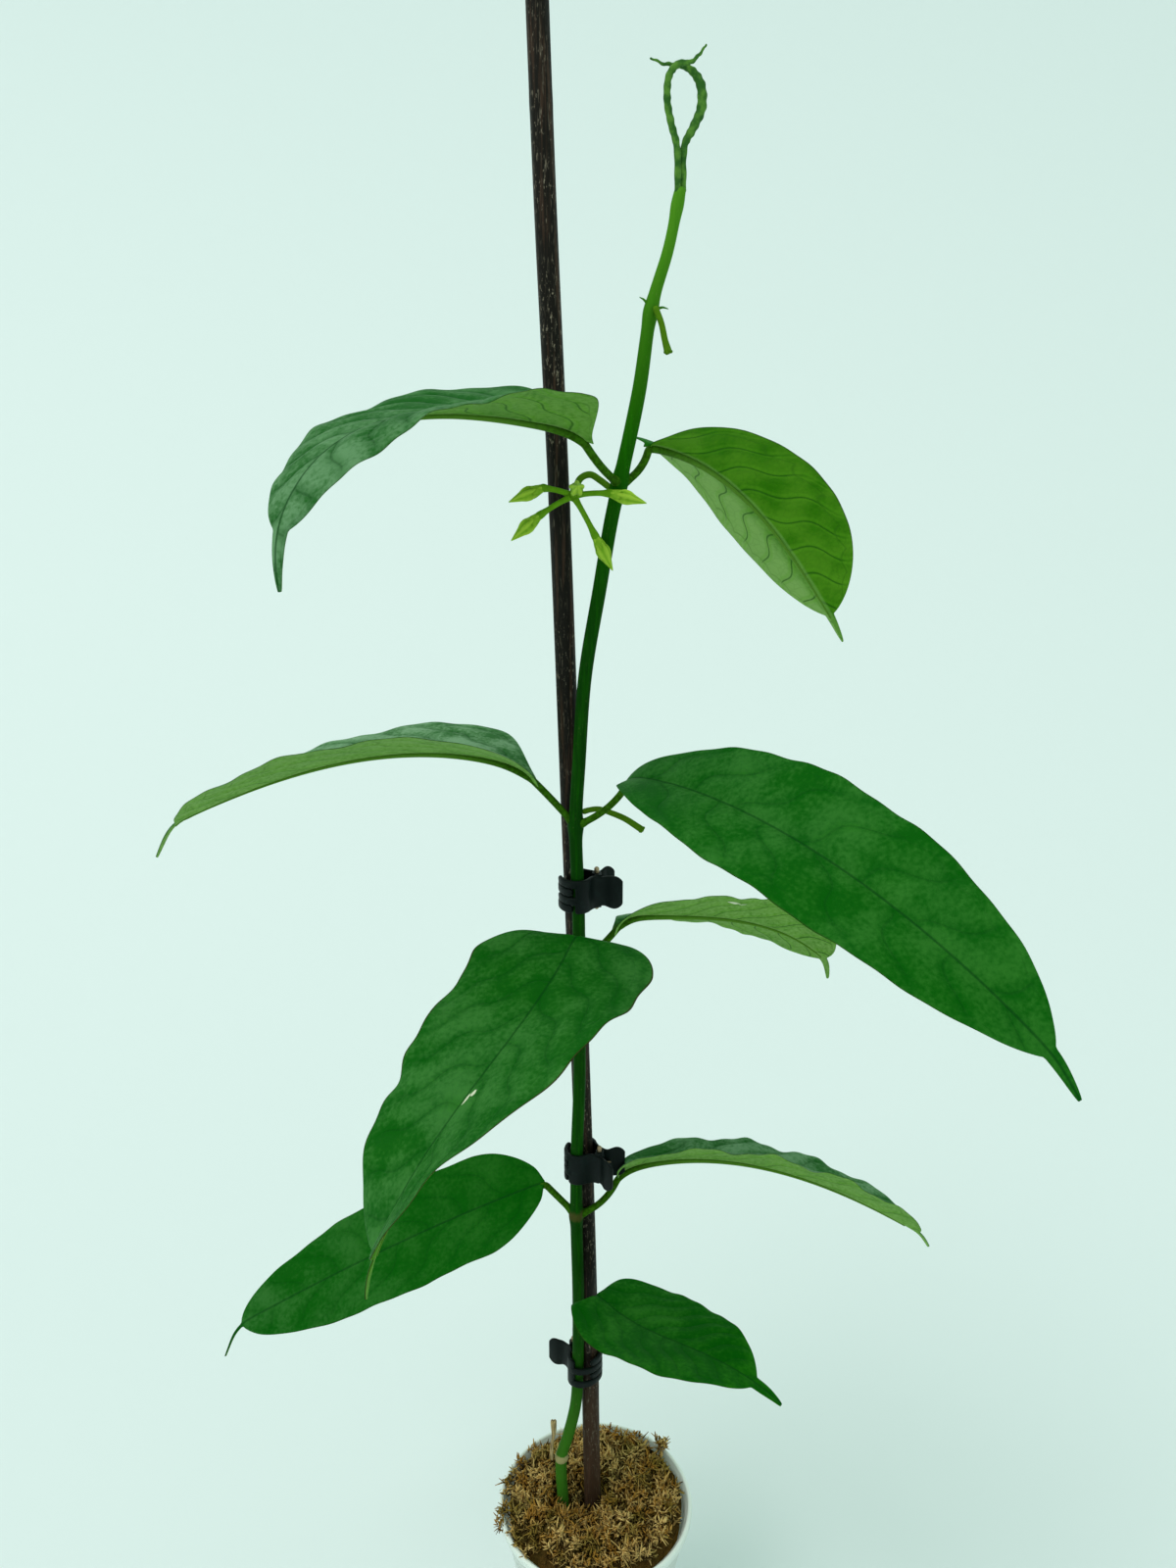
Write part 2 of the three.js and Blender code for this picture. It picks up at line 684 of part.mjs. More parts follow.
// A pointed bud with soft ridges, standing just past its stalk.
function makeBud({ end, tip }) {
  const base = vec(end);
  const along = vec(tip).sub(base).normalize();
  const rings = BUD.profile;
  const seat = 1.6 * GAP;
  const vertices = [];
  const triangles = [];
  rings.forEach(([height, share]) => {
    for (let k = 0; k < BUD.sides; k += 1) {
      const angle = (k / BUD.sides) * 2 * Math.PI;
      const radius = BUD.radius * share * (1 + BUD.ridge * Math.cos(BUD.ridges * angle));
      const z = mix(seat, BUD.length, height);
      vertices.push(radius * Math.cos(angle), radius * Math.sin(angle), z);
    }
  });
  for (let i = 0; i < rings.length - 1; i += 1) {
    for (let k = 0; k < BUD.sides; k += 1) {
      const a = i * BUD.sides + k;
      const b = i * BUD.sides + ((k + 1) % BUD.sides);
      triangles.push(a, b, b + BUD.sides, a, b + BUD.sides, a + BUD.sides);
    }
  }
  const caps = vertices.length / 3;
  const last = (rings.length - 1) * BUD.sides;
  vertices.push(0, 0, seat, 0, 0, BUD.length);
  for (let k = 0; k < BUD.sides; k += 1) {
    const next = (k + 1) % BUD.sides;
    triangles.push(caps, next, k, caps + 1, last + k, last + next);
  }
  const geometry = geometryFrom(vertices, triangles);
  geometry.applyQuaternion(new THREE.Quaternion().setFromUnitVectors(new THREE.Vector3(0, 0, 1), along));
  geometry.translate(...base.toArray());
  return geometry;
}

// Spring clips. Each is built round (0, 0): stem on -Y, cane on +Y, pin on +X.

// The middle line of one jaw seen from above, from finger tip to wing tip.
function jawLine(side, tipPast) {
  const a = CLIP.ringX + CLIP.wall / 2;
  const b = CLIP.ringY + CLIP.wall / 2;
  const line = [];
  for (let i = 0; i <= CLIP.ringSteps; i += 1) {
    const angle = mix(180 + tipPast, CLIP.ringLeave, i / CLIP.ringSteps) * DEG;
    line.push(new THREE.Vector2(a * Math.cos(angle), side * b * Math.sin(angle)));
  }
  line.push(new THREE.Vector2(CLIP.stripFrom, side * (CLIP.stripY + CLIP.stripFlare)));
  line.push(new THREE.Vector2(PIN.x, side * CLIP.stripY));
  line.push(new THREE.Vector2(CLIP.stripTo, side * (CLIP.stripY + CLIP.stripFlare)));
  line.push(new THREE.Vector2(CLIP.wingBend[0], side * CLIP.wingBend[1]));
  line.push(new THREE.Vector2(CLIP.wingX, side * CLIP.wingY));
  return line;
}

// The line widened to the wall's thickness, as a closed outline.
function stripShape(line) {
  const outer = [];
  const inner = [];
  line.forEach((point, i) => {
    const before = line[Math.max(i - 1, 0)];
    const after = line[Math.min(i + 1, line.length - 1)];
    const along = after.clone().sub(before).normalize();
    const out = new THREE.Vector2(-along.y, along.x).multiplyScalar(CLIP.wall / 2);
    outer.push(point.clone().add(out));
    inner.unshift(point.clone().sub(out));
  });
  return new THREE.Shape([...outer, ...inner]);
}

// Side view that rounds the wing's outer corners.
function wingSideView() {
  const half = CLIP.height / 2;
  const round = CLIP.wingRound;
  const right = CLIP.wingX + CLIP.wall / 3;
  const shape = new THREE.Shape();
  shape.moveTo(-CLIP.reach, -half);
  shape.lineTo(right - round, -half);
  shape.absarc(right - round, -half + round, round, -Math.PI / 2, 0, false);
  shape.absarc(right - round, half - round, round, 0, Math.PI / 2, false);
  shape.lineTo(-CLIP.reach, half);
  const depth = 2 * CLIP.reach;
  const geometry = new THREE.ExtrudeGeometry(shape, { depth, bevelEnabled: false, curveSegments: 3 });
  geometry.rotateX(Math.PI / 2);
  geometry.translate(0, CLIP.reach, 0);
  return geometry;
}

// Bottom and top of each knuckle: the two outer ones belong to the front jaw.
function knuckleSpans(front) {
  const half = CLIP.height / 2;
  const tall = KNUCKLE.height;
  const start = front ? half - tall : half - 2 * tall - GAP;
  return [[start, start + tall], [-start - tall, -start]];
}

function makeJaw(front) {
  const side = front ? -1 : 1;
  const line = jawLine(side, front ? CLIP.frontTipPast : CLIP.backTipPast);
  const depth = CLIP.height;
  const strip = new THREE.ExtrudeGeometry(stripShape(line), { depth, bevelEnabled: false });
  strip.translate(0, 0, -depth / 2);
  const parts = [overlapOf(strip, wingSideView())];
  knuckleSpans(front).forEach(([low, high]) => {
    const knuckle = uprightCylinder(KNUCKLE.radius, low, high, PIN.sides);
    knuckle.translate(PIN.x, 0, 0);
    const toStrip = side * CLIP.stripY;
    const web = boxBetween(
      [PIN.x - KNUCKLE.web, Math.min(0, toStrip), low],
      [PIN.x + KNUCKLE.web, Math.max(0, toStrip), high],
    );
    parts.push(knuckle, web);
  });
  const bore = uprightCylinder(PIN.radius + GAP, -depth, depth, PIN.sides);
  bore.translate(PIN.x, 0, 0);
  const band = depth / CLIP.bands;
  const slots = [];
  for (let i = 0; i < CLIP.bands; i += 1) {
    const mine = (i % 2 === 1) === front;
    const low = -depth / 2 + i * band - GAP / 2;
    const high = low + band + GAP;
    if (!mine) slots.push(boxBetween([-CLIP.reach, -CLIP.reach, low], [CLIP.slotX, CLIP.reach, high]));
  }
  return cut(join(parts), [bore, ...slots]);
}

function makePin() {
  const pin = uprightCylinder(PIN.radius, -PIN.down, PIN.up, PIN.sides);
  pin.translate(PIN.x, 0, 0);
  return pin;
}

// The coil sits between the inner knuckles, with one straight leg towards the back wing.
function makeSpring() {
  const path = [];
  const steps = COIL.turns * COIL.perTurn;
  for (let i = 0; i <= steps; i += 1) {
    const angle = (i / COIL.perTurn) * 2 * Math.PI + COIL.startAngle;
    path.push(new THREE.Vector3(
      PIN.x + COIL.radius * Math.cos(angle),
      COIL.radius * Math.sin(angle),
      mix(-COIL.height / 2, COIL.height / 2, i / steps),
    ));
  }
  path.push(new THREE.Vector3(PIN.x + COIL.leg[0], COIL.leg[1], COIL.height / 2));
  return tubeAlong(path, path.map(() => COIL.wire), COIL.sides);
}

// Where a clip sits: midway over the pair of stems, turned with the line from stem to cane.
function clipPlace(height, pinOnLeft) {
  const cane = pointAtHeight(caneCurve, height);
  const stem = pointAtHeight(stemCurve, height);
  const toCane = cane.clone().sub(stem).setZ(0);
  const span = toCane.length();
  toCane.normalize();
  const middle = (span + CANE.radius - stemRadius(height)) / 2;
  const centre = stem.clone().addScaledVector(toCane, middle).setZ(height);
  const turn = Math.atan2(toCane.y, toCane.x) - Math.PI / 2 + (pinOnLeft ? Math.PI : 0);
  return { centre, turn };
}

// Materials and the scene

function material(color, roughness) {
  return new THREE.MeshStandardMaterial({ color, roughness, metalness: 0 });
}

const MATERIALS = {
  cup: () => material('#dfe5df', 0.35),
  moss: () => material('#8a6a35', 0.95),
  cane: () => material('#2a1f1c', 0.7),
  stem: () => material('#2f6a18', 0.5),
  leaf: () => material('#1d6a1f', 0.4),
  youngLeaf: () => material('#3f7a25', 0.5),
  bud: () => material('#9ec455', 0.45),
  dry: () => material('#a88a5c', 0.9),
  clip: () => material('#1c2226', 0.45),
  steel: () => new THREE.MeshStandardMaterial({ color: '#9a8a70', roughness: 0.35, metalness: 0.9 }),
};

const plant = new THREE.Group();

function addPiece(name, geometry, kind, parent = plant) {
  const mesh = new THREE.Mesh(geometry, MATERIALS[kind]());
  mesh.name = name;
  parent.add(mesh);
}

addPiece('cup', makeCup(), 'cup');
addPiece('moss', makeMoss([makeCane(GAP, MOSS.holeShare), makeStemHole()]), 'moss');
addPiece('cane', makeCane(), 'cane');
addPiece('stem', makeStem(), 'stem');
addPiece('dry_stub', smoothTube(DRY_STUB.points, DRY_STUB.radii, STALK.sides, STALK.steps), 'dry');

Object.entries(LEAVES).forEach(([name, leaf]) => addPiece(name, makeLeaf(leaf), 'leaf'));

Object.entries(YOUNG_LEAVES).forEach(([name, { points, radii }]) => {
  addPiece(name, smoothTube(points, radii, STALK.sides, YOUNG_STEPS), 'youngLeaf');
});

Object.entries(BARE_STALKS).forEach(([name, { points, radii }]) => {
  addPiece(name, smoothTube(points, radii, STALK.sides, STALK.steps), 'stem');
});

addPiece('flower_stalk', makeUmbel(), 'bud');
BUDS.forEach((bud, i) => addPiece(`bud_${i + 1}`, makeBud(bud), 'bud'));

Object.entries(CLIP.heights).forEach(([name, height]) => {
  const { centre, turn } = clipPlace(height, CLIP.pinOnLeft[name] === true);
  const clip = new THREE.Group();
  clip.position.copy(centre);
  clip.rotation.z = turn;
  addPiece(`${name}_jaw_front`, makeJaw(true), 'clip', clip);
  addPiece(`${name}_jaw_back`, makeJaw(false), 'clip', clip);
  addPiece(`${name}_pin`, makePin(), 'steel', clip);
  addPiece(`${name}_spring`, makeSpring(), 'steel', clip);
  plant.add(clip);
});

export default plant;
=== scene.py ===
"""A climbing hoya in a small nursery cup, clipped to one thin dark cane.

Each piece is a closed surface worked out on a grid with numpy, at the place where the frame holds
the node that it stands for. Lengths in this file are millimetres unless a name says otherwise, and
meshes are in metres. +Z is up, the origin is the centre of the cup's base, and -Y is the front.
"""

import math
from dataclasses import dataclass, field

import bpy
import numpy as np
from bpy.props import FloatProperty, FloatVectorProperty, IntProperty, PointerProperty
from bpy.types import Operator, Panel, PropertyGroup
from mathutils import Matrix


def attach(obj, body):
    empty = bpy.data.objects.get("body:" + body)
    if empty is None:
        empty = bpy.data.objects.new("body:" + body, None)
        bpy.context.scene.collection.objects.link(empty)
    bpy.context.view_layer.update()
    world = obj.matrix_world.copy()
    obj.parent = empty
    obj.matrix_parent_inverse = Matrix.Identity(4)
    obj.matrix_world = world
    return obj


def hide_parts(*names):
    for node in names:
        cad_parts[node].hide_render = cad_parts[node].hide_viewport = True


bl_info = {
    "name": "Potted Climbing Hoya",
    "version": (1, 0, 0),
    "blender": (4, 5, 0),
    "location": "View3D > Sidebar > Hoya",
    "description": "Builds a climbing hoya on a cane, with its cup, moss, clips, leaves and buds",
    "category": "Add Mesh",
}

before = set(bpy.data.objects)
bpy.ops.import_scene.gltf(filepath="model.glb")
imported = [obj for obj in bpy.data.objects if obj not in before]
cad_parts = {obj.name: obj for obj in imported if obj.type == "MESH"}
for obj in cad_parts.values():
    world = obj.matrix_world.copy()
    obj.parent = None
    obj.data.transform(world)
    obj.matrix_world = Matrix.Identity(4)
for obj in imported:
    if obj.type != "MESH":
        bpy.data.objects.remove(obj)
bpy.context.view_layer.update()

MM = 0.001
DEG = math.pi / 180
PLANT = "plant"

# The photograph's view: 1200 x 1600 pixels, and a focal length of 1204 pixels

CAMERA_PLACE = (-3.0, -368.0, 477.0)
CAMERA_PITCH = 16.4
FOCAL_PIXELS = 1204.0
LONG_SIDE_PIXELS = 1600.0
SENSOR = 36.0

# The large light at the upper left, in metres

KEY_PLACE = (-4.05, -2.7, 7.86)
KEY_SIZE = 5.5

# Sizes of the pieces

CUP = {
    "height": 74.0,
    "base_radius": 26.0,
    "top_radius": 35.6,
    "rim_radius": 38.0,
    "rim_height": 3.6,
    "rim_inset": 2.6,
    "wall": 0.9,
    "floor": 1.2,
    "step_height": 58.0,
    "step_out": 0.35,
}
MOSS = {
    "reach": 32.2,
    "edge_height": 73.4,
    "crown_height": 77.0,
    "dip_depth": 7.0,
    "dip": (-6.0, -1.0),
    "dip_width": 9.0,
    "lump_height": 1.3,
}
CRUMB_PROFILE = (0.7, 1.0, 0.4)
FIBRE_PROFILE = (0.7, 1.0, 0.9, 0.6, 0.2)
FIBRES = 120

# Angle in degrees, distance from the middle, and height over the rim

RIM_CLUMPS = (
    (188, 36.4, 0.6), (192, 38.0, 0.2), (197, 38.2, -1.2), (176, 35.4, 0.8), (205, 35.6, 0.2),
    (140, 34.0, 0.6), (151, 34.6, 0.8), (161, 35.0, 0.8), (169, 35.2, 0.8), (213, 35.0, 0.0),
    (41, 35.8, 1.2), (42, 36.6, 3.0), (40, 36.8, 4.6), (60, 35.0, 0.8), (222, 35.4, 0.4),
)
CANE_RADIUS = 3.25
CANE_POINTS = (
    (0.7, 0, 8), (-1.1, 0, 71), (-3.1, 0, 180), (-5.3, 0, 257), (-8.1, 0, 345),
    (-11.8, 0, 460), (-15.2, 0, 542), (-17.8, 0, 622),
)
STEM_POINTS = (
    (-12.4, -2, 36), (-12.7, -2, 72), (-13.3, -2, 96.6), (-10.6, -2.5, 108), (-7.6, -3, 123.8),
    (-6.8, -3.5, 140.7), (-6.6, -4.4, 174.6), (-7.2, -5.2, 209), (-6.9, -5.7, 236), (-6, -5.9, 262),
    (-6, -5.9, 307), (-6.2, -5.9, 330), (-7, -5.9, 356.4), (-5.9, -6.1, 377), (-3.9, -6.6, 405.6),
    (0.6, -7.2, 433), (4, -7.8, 453.3), (6.3, -8, 463.8), (11.7, -9, 489.4), (15.1, -9.5, 512.6),
    (19.5, -10, 527.5), (22.3, -10, 541.6),
)
STEM = {
    "root_radius": 2.2,
    "mid_radius": 2.1,
    "tip_radius": 1.5,
    "taper_from": 478.0,
    "taper_to": 542.0,
    "swell": 0.55,
    "swell_length": 3.2,
    "swell_loss": 0.4,
}
NODE_HEIGHTS = (97, 209, 307, 356.4, 463.6, 511, 538.5)
STALK_RADIUS = 1.2
MIDRIB_END = 0.9
MIDRIB_RADIUS = 0.25
STALK_STEPS = 48
BLADE_STEPS = 240


@dataclass(frozen=True)
class Leaf:
    """One leaf. Headings count from +X towards +Y and a positive pitch rises, both in degrees.

    drip is the share of the length that the narrow tip takes, and its half width there. bend is the
    share over which the stalk's slope runs on into the blade, neck that over which the blade widens
    from its stalk, droop how much the drip tip hangs, and scallop the margin's own waves, as a
    share of the half width. shade is how far the upper side is darkened towards its deepest green.
    bloom is the half (1 or -1, and 0 for both) and the strength of the underside's painted pale
    sheen. sheen is the strength of the upper side's painted sheen, at the base and at the tip.
    """

    node: float
    stalk_heading: tuple
    stalk_pitch: tuple
    stalk: float
    heading: tuple
    pitch: tuple
    roll: tuple
    fold: tuple
    length: float
    half_width: float
    widest: float
    fullness: float
    lobe: float
    tip: float
    wave: float
    waves: float
    drip: tuple
    blunt: float = 0.85
    bend: float = 0.04
    neck: float = 0.01
    droop: float = 0.0
    scallop: float = 0.0
    shade: float = 0.0
    veins: float = 0.3
    under_sheen: tuple = (1, 0.0)
    sheen: tuple = (0.0, 0.0)
    edge: float = 0.0
    phase: float = 0.0
    scars: tuple = ()


LEAVES = {
    "leaf_b_left": Leaf(
        463.6, (240, 240), (20, 60), 24.0, (197, 244), (8, -13, -90), (-5, 6), (21, -16),
        120, 31.5, 0.19, 2.9, 2.0, 1.4, 0.9, 4, (0.13, 2.6),
        blunt=0.65, bend=0.03, neck=0.05, droop=10, shade=0.35, veins=0.5, under_sheen=(0, 0.55),
        sheen=(0.15, 0.5), phase=0.3,
    ),
    "leaf_b_right": Leaf(
        463.6, (30, 30), (15, 81), 16.0, (42, 38), (-6, -39, -47), (-4, -30), (18, 20),
        124, 23.5, 0.49, 2.5, 1.0, 1.9, 0.35, 3, (0.11, 1.7),
        blunt=0.65, bend=0.005, neck=0.025, droop=5, shade=0.2, veins=0.6, under_sheen=(1, 0.85),
        phase=0.1,
    ),
    "leaf_c_left": Leaf(
        356.4, (176, 176), (50, 58), 23.0, (173, 180), (18, -15, -26), (10, 8), (13, 7),
        139, 35.0, 0.24, 2.0, 5.0, 4.1, 0.7, 4, (0.11, 1.9),
        blunt=0.8, bend=0.03, neck=0.06, droop=36, shade=0.2, veins=0.5, under_sheen=(0, 0.85),
        sheen=(0.6, 0.7), phase=0.6,
    ),
    "leaf_c_right": Leaf(
        356.4, (-18, -18), (25, 69), 25.5, (-57, -36), (11, -17, -42), (22, 35), (11, 12),
        168, 22.0, 0.37, 1.6, 2.5, 2.6, 0.8, 5, (0.08, 2.1),
        blunt=0.7, bend=0.015, droop=13, shade=0.3, sheen=(0.08, 0.04),
    ),
    "leaf_d_front": Leaf(
        307, (270, 270), (25, 85), 26.0, (256, 209), (-17, -28, -81), (-4, 27), (-4, 25),
        134, 29.0, 0.15, 1.9, 2.5, 3.4, 1.5, 3, (0.1, 1.7),
        blunt=0.5, bend=0.02, droop=2, scallop=0.02, shade=0.2, sheen=(0.08, 0.12), edge=1.0,
        phase=0.4, scars=(((0.55, 0.05), (2.6, 1.1)), ((0.535, 0.1), (1.5, 1.0))),
    ),
    "leaf_d_back": Leaf(
        307, (40, 40), (20, 59), 23.5, (36, -2), (-20, -15, -55), (-27, -44), (9, 7),
        97, 19.0, 0.54, 2.4, 5.0, 3.7, 0.6, 4, (0.09, 1.7),
        blunt=0.55, neck=0.06, droop=30, scallop=0.02, veins=0.5, under_sheen=(0, 0.85),
        sheen=(0.4, 0.4), phase=0.8,
        scars=(((0.42, -0.75), (3.2, 0.7)), ((0.46, -0.71), (1.8, 0.8))),
    ),
    "leaf_e_left": Leaf(
        209, (165, 165), (42, 47), 16.5, (185, 193), (-20, -24, -25), (-28, -31), (9, -3),
        134, 19.0, 0.18, 1.6, 0.5, 3.1, 0.8, 4, (0.11, 0.6),
        blunt=0.6, bend=0.005, droop=43, shade=0.7, veins=0.24, sheen=(0.02, 0.09), phase=0.2,
    ),
    "leaf_e_right": Leaf(
        209, (0, 50), (14, 77), 22.0, (3, -14), (19, -14, -28), (-24, -27), (19, 20),
        121, 17.0, 0.53, 2.0, 0.0, 3.7, 1.0, 5, (0.06, 1.7),
        blunt=0.5, bend=0.025, droop=27, shade=0.3, veins=0.4, under_sheen=(0, 0.85), sheen=(0.5, 0.5),
        phase=0.5,
    ),
    "leaf_f_front": Leaf(
        161, (-45, -45), (35, 100), 22.5, (-47, -28), (-20, 7, -39), (-5, -10), (4, 6),
        79, 21.5, 0.34, 2.4, 2.0, 2.6, 0.6, 3, (0.14, 3.1),
        blunt=0.65, bend=0.02, droop=-3, shade=0.05, veins=0.2, sheen=(0.05, 0.0), phase=0.7,
    ),
}

UMBEL = (-7.3, -12, 460.4)
FLOWER_STALK = ((3.1, -7.2, 462.8), (0.6, -6.2, 464.6), (-2.2, -6.3, 466.2), (-5.2, -8.4, 465.2), UMBEL)
BUD_ENDS = (
    ((-16.1, -12, 462.6), (-26.2, -12, 458.6)),
    ((-17.2, -15.6, 454.9), (-28.5, -18, 445.2)),
    ((-0.7, -13.8, 448.6), (5.1, -14.4, 437.4)),
    ((3.4, -15.6, 461.2), (15.9, -17, 458)),
    ((-6.4, -22, 462.4), (-5.8, -33.2, 464)),
)
BUD_LENGTH = 11.0
BUD_PROFILE = (
    (0, 1.1), (0.12, 1.35), (0.26, 1.62), (0.40, 1.98),
    (0.50, 1.9), (0.66, 1.32), (0.84, 0.72), (1, 0.12),
)

# Height, reach from the axis, and how much the five lobes count, up the outside and down the inside

CALYX_PROFILE = (
    (0.0, 0.95, 0.0), (0.5, 1.15, 0.0), (1.2, 1.42, 0.2), (2.0, 1.72, 0.7), (2.3, 1.78, 1.0),
    (2.25, 1.62, 1.0), (1.2, 1.2, 0.2), (0.2, 0.5, 0.0),
)
BARE_STALKS = {
    "flower_stalk_top": (
        ((16.1, -12.5, 511.4), (17.6, -13.4, 507.6), (18.7, -13.8, 503), (19.5, -13.9, 500.4)),
        (0.9, 0.85, 0.9, 1.1),
    ),
    "flower_stalk_middle": (
        ((-4.1, -5.1, 361), (-2.4, -4.5, 361.3), (0.6, -4, 361.4), (4.6, -4.4, 360.2),
         (9, -5.6, 358.6), (14, -7.4, 355.8)),
        (0.95, 0.9, 0.9, 0.95, 1.0, 1.1),
    ),
}
YOUNG_LEAVES = {
    "young_leaf_left": (
        ((21.6, -10.7, 542.1), (21.1, -10.6, 553), (19.5, -10.2, 558.6), (18.3, -10.2, 564.5),
         (18.8, -10.8, 570.2), (21.2, -11.4, 572.6), (24.4, -11.4, 573), (26.8, -11, 575),
         (28.5, -10.7, 577.3)),
        (0.9, 0.95, 0.98, 1.0, 0.98, 0.9, 0.6, 0.42, 0.26),
    ),
    "young_leaf_right": (
        ((23.1, -9.3, 542.3), (23.3, -9.6, 553.4), (25.5, -9.8, 557.6), (27.6, -9.8, 562.5),
         (27.2, -9.3, 568.4), (24.6, -8.8, 571.8), (21, -8.7, 573), (17.4, -9.2, 573.1),
         (13.8, -9.6, 574.4)),
        (0.95, 1.0, 1.2, 1.35, 1.25, 1.0, 0.62, 0.42, 0.26),
    ),
}
DRY_STUB = ((-17, -3.4, 97.5), (-16.9, -3.4, 104), (-16.2, -3.2, 109), (-16.2, -3, 114.5))
BRACTS = (((14.6, -9.8, 511.8), (11.7, -10.6, 514.6)), ((15.8, -9.2, 511.4), (19.6, -8.2, 511.9)))

CLIP_HEIGHTS = {"clip_top": 332.6, "clip_middle": 229.6, "clip_bottom": 140.2}
CLIP_TURNED = ("clip_bottom",)
CLIP = {
    "height": 11.6,
    "wall": 1.1,
    "ring_x": 4.5,
    "ring_y": 5.95,
    "ring_leave": 40.0,
    "front_past": 10.0,
    "back_past": 62.0,
    "bands": 4,
    "slot_x": -1.6,
    "strip_y": 2.6,
    "strip_from": 5.4,
    "strip_to": 9.6,
    "strip_flare": 0.4,
    "wing_bend": (11.6, 4.6),
    "wing_x": 14.6,
    "wing_y": 5.8,
    "wing_round": 3.4,
}
PIN = {"x": 7.2, "radius": 0.75, "up": 7.4, "down": 6.6}
KNUCKLE = {"radius": 1.6, "height": 1.8, "web": 1.0, "web_start": 1.15, "gap": 0.3, "bevel": 0.25}
COIL = {"radius": 1.3, "wire": 0.25, "turns": 3, "height": 2.1, "start": 0.9, "leg": (3.4, 2.0)}

# The floor's front, the wall's place and height, and the bend between them

BACKDROP = {"half_width": 4000.0, "front": -3500.0, "back": 1640.0, "bend": 1400.0, "height": 3600.0}


# Numbers on arrays

def lerp(a, b, t):
    """a + (b - a) t."""
    return a + (b - a) * t


def through_three(values, u):
    """The parabola through three values at u = 0, 0.5 and 1."""
    a, b, c = values
    return a * (1 - u) * (1 - 2 * u) + b * 4 * u * (1 - u) + c * u * (2 * u - 1)


def bell(x, width):
    """exp(-(x / width)^2)."""
    return np.exp(-((x / width) ** 2))


def eased(x, low, high):
    """0 below low, 1 above high, and 3t^2 - 2t^3 between."""
    t = np.clip((x - low) / (high - low), 0, 1)
    return t * t * (3 - 2 * t)


def unit(vectors):
    """Each vector divided by its length."""
    return vectors / np.linalg.norm(vectors, axis=-1, keepdims=True)


def direction(pitch, heading):
    """(cos p cos h, cos p sin h, sin p) for angles in degrees."""
    p, h = np.asarray(pitch) * DEG, np.asarray(heading) * DEG
    return np.stack([np.cos(p) * np.cos(h), np.cos(p) * np.sin(h), np.sin(p)], axis=-1)


def smooth_path(controls, count):
    """Points of the centripetal Catmull-Rom curve through the controls, even in its parameter.

    A span from b to c, with neighbours a and d, is the cubic whose slopes at its ends weigh the
    chords by the square roots of their lengths.
    """
    points = np.asarray(controls, float)
    ends = (2 * points[0] - points[1], 2 * points[-1] - points[-2])
    points = np.vstack([ends[0], points, ends[1]])
    place = np.linspace(0, len(controls) - 1, count)
    span = np.minimum(place.astype(int), len(controls) - 2)
    t = (place - span)[:, None]
    a, b, c, d = (points[span + k] for k in range(4))
    chords = ((a, b), (b, c), (c, d))
    ab, bc, cd = (np.linalg.norm(q - p, axis=1, keepdims=True) ** 0.5 for p, q in chords)
    start = ((b - a) / ab - (c - a) / (ab + bc) + (c - b) / bc) * bc
    end = ((c - b) / bc - (d - b) / (bc + cd) + (d - c) / cd) * bc
    return b + start * t + (3 * (c - b) - 2 * start - end) * t**2 + (2 * (b - c) + start + end) * t**3


def at_height(path, z):
    """The point of a rising path at one height."""
    return np.array([np.interp(z, path[:, 2], path[:, axis]) for axis in range(3)])


def tangents(points):
    """Unit differences between neighbours along a path."""
    return unit(np.gradient(points, axis=0))


def axes_along(points, reference):
    """Side and other for each point: the reference made square to the path, and tangent x side."""
    along = tangents(points)
    reference = np.broadcast_to(np.asarray(reference, float), along.shape)
    side = unit(reference - (reference * along).sum(-1, keepdims=True) * along)
    return side, np.cross(along, side)


CANE_PATH = smooth_path(CANE_POINTS, 400)
STEM_PATH = smooth_path(STEM_POINTS, 900)


# Closed surfaces

def ring_quads(rows, sides):
    """Corners of the quads between neighbouring rings, facing out."""
    here = np.arange(sides)
    following = (here + 1) % sides
    base = np.arange(rows - 1)[:, None] * sides
    corners = [base + here, base + following, base + following + sides, base + here + sides]
    return np.stack(corners, axis=-1).reshape(-1, 4)


@dataclass
class Shell:
    """Rings of points along a path, closed round each ring and by a fan at both ends."""

    rings: np.ndarray
    values: dict = field(default_factory=dict)

    def points(self):
        """The rings' points, then the centres of the first and last ring."""
        centres = self.rings[[0, -1]].mean(axis=1)
        return np.vstack([self.rings.reshape(-1, 3), centres])

    def numbers(self, name):
        """One value for each point, 0 where the shell has none of that name."""
        rows, sides = self.rings.shape[:2]
        if name not in self.values:
            return np.zeros(rows * sides + 2)
        grid = np.broadcast_to(self.values[name], (rows, sides))
        return np.concatenate([grid.ravel(), grid[[0, -1]].mean(axis=1)])

    def faces(self, offset):
        """Quads between the rings, and the fans' triangles."""
        rows, sides = self.rings.shape[:2]
        here = np.arange(sides)
        following = (here + 1) % sides
        last = (rows - 1) * sides
        centre = rows * sides
        first_fan = np.stack([np.full(sides, centre), following, here], axis=-1)
        last_fan = np.stack([np.full(sides, centre + 1), last + here, last + following], axis=-1)
        fans = np.vstack([first_fan, last_fan])
        return (ring_quads(rows, sides) + offset).tolist() + (fans + offset).tolist()


@dataclass
class Bits:
    """Many small tubes alike, with flat ends, as an array of tubes x rings x sides x 3."""

    rings: np.ndarray
    values: dict

    def points(self):
        return self.rings.reshape(-1, 3)

    def numbers(self, name):
        return np.broadcast_to(self.values[name], self.rings.shape[:3]).ravel()

    def faces(self, offset):
        """Quads between the rings, and a flat face at each end."""
        count, rows, sides = self.rings.shape[:3]
        here = np.arange(sides)
        starts = offset + np.arange(count)[:, None, None] * rows * sides
        ends = np.stack([here[::-1], here + (rows - 1) * sides])
        quads = (starts + ring_quads(rows, sides)).reshape(-1, 4)
        return quads.tolist() + (starts + ends).reshape(-1, sides).tolist()


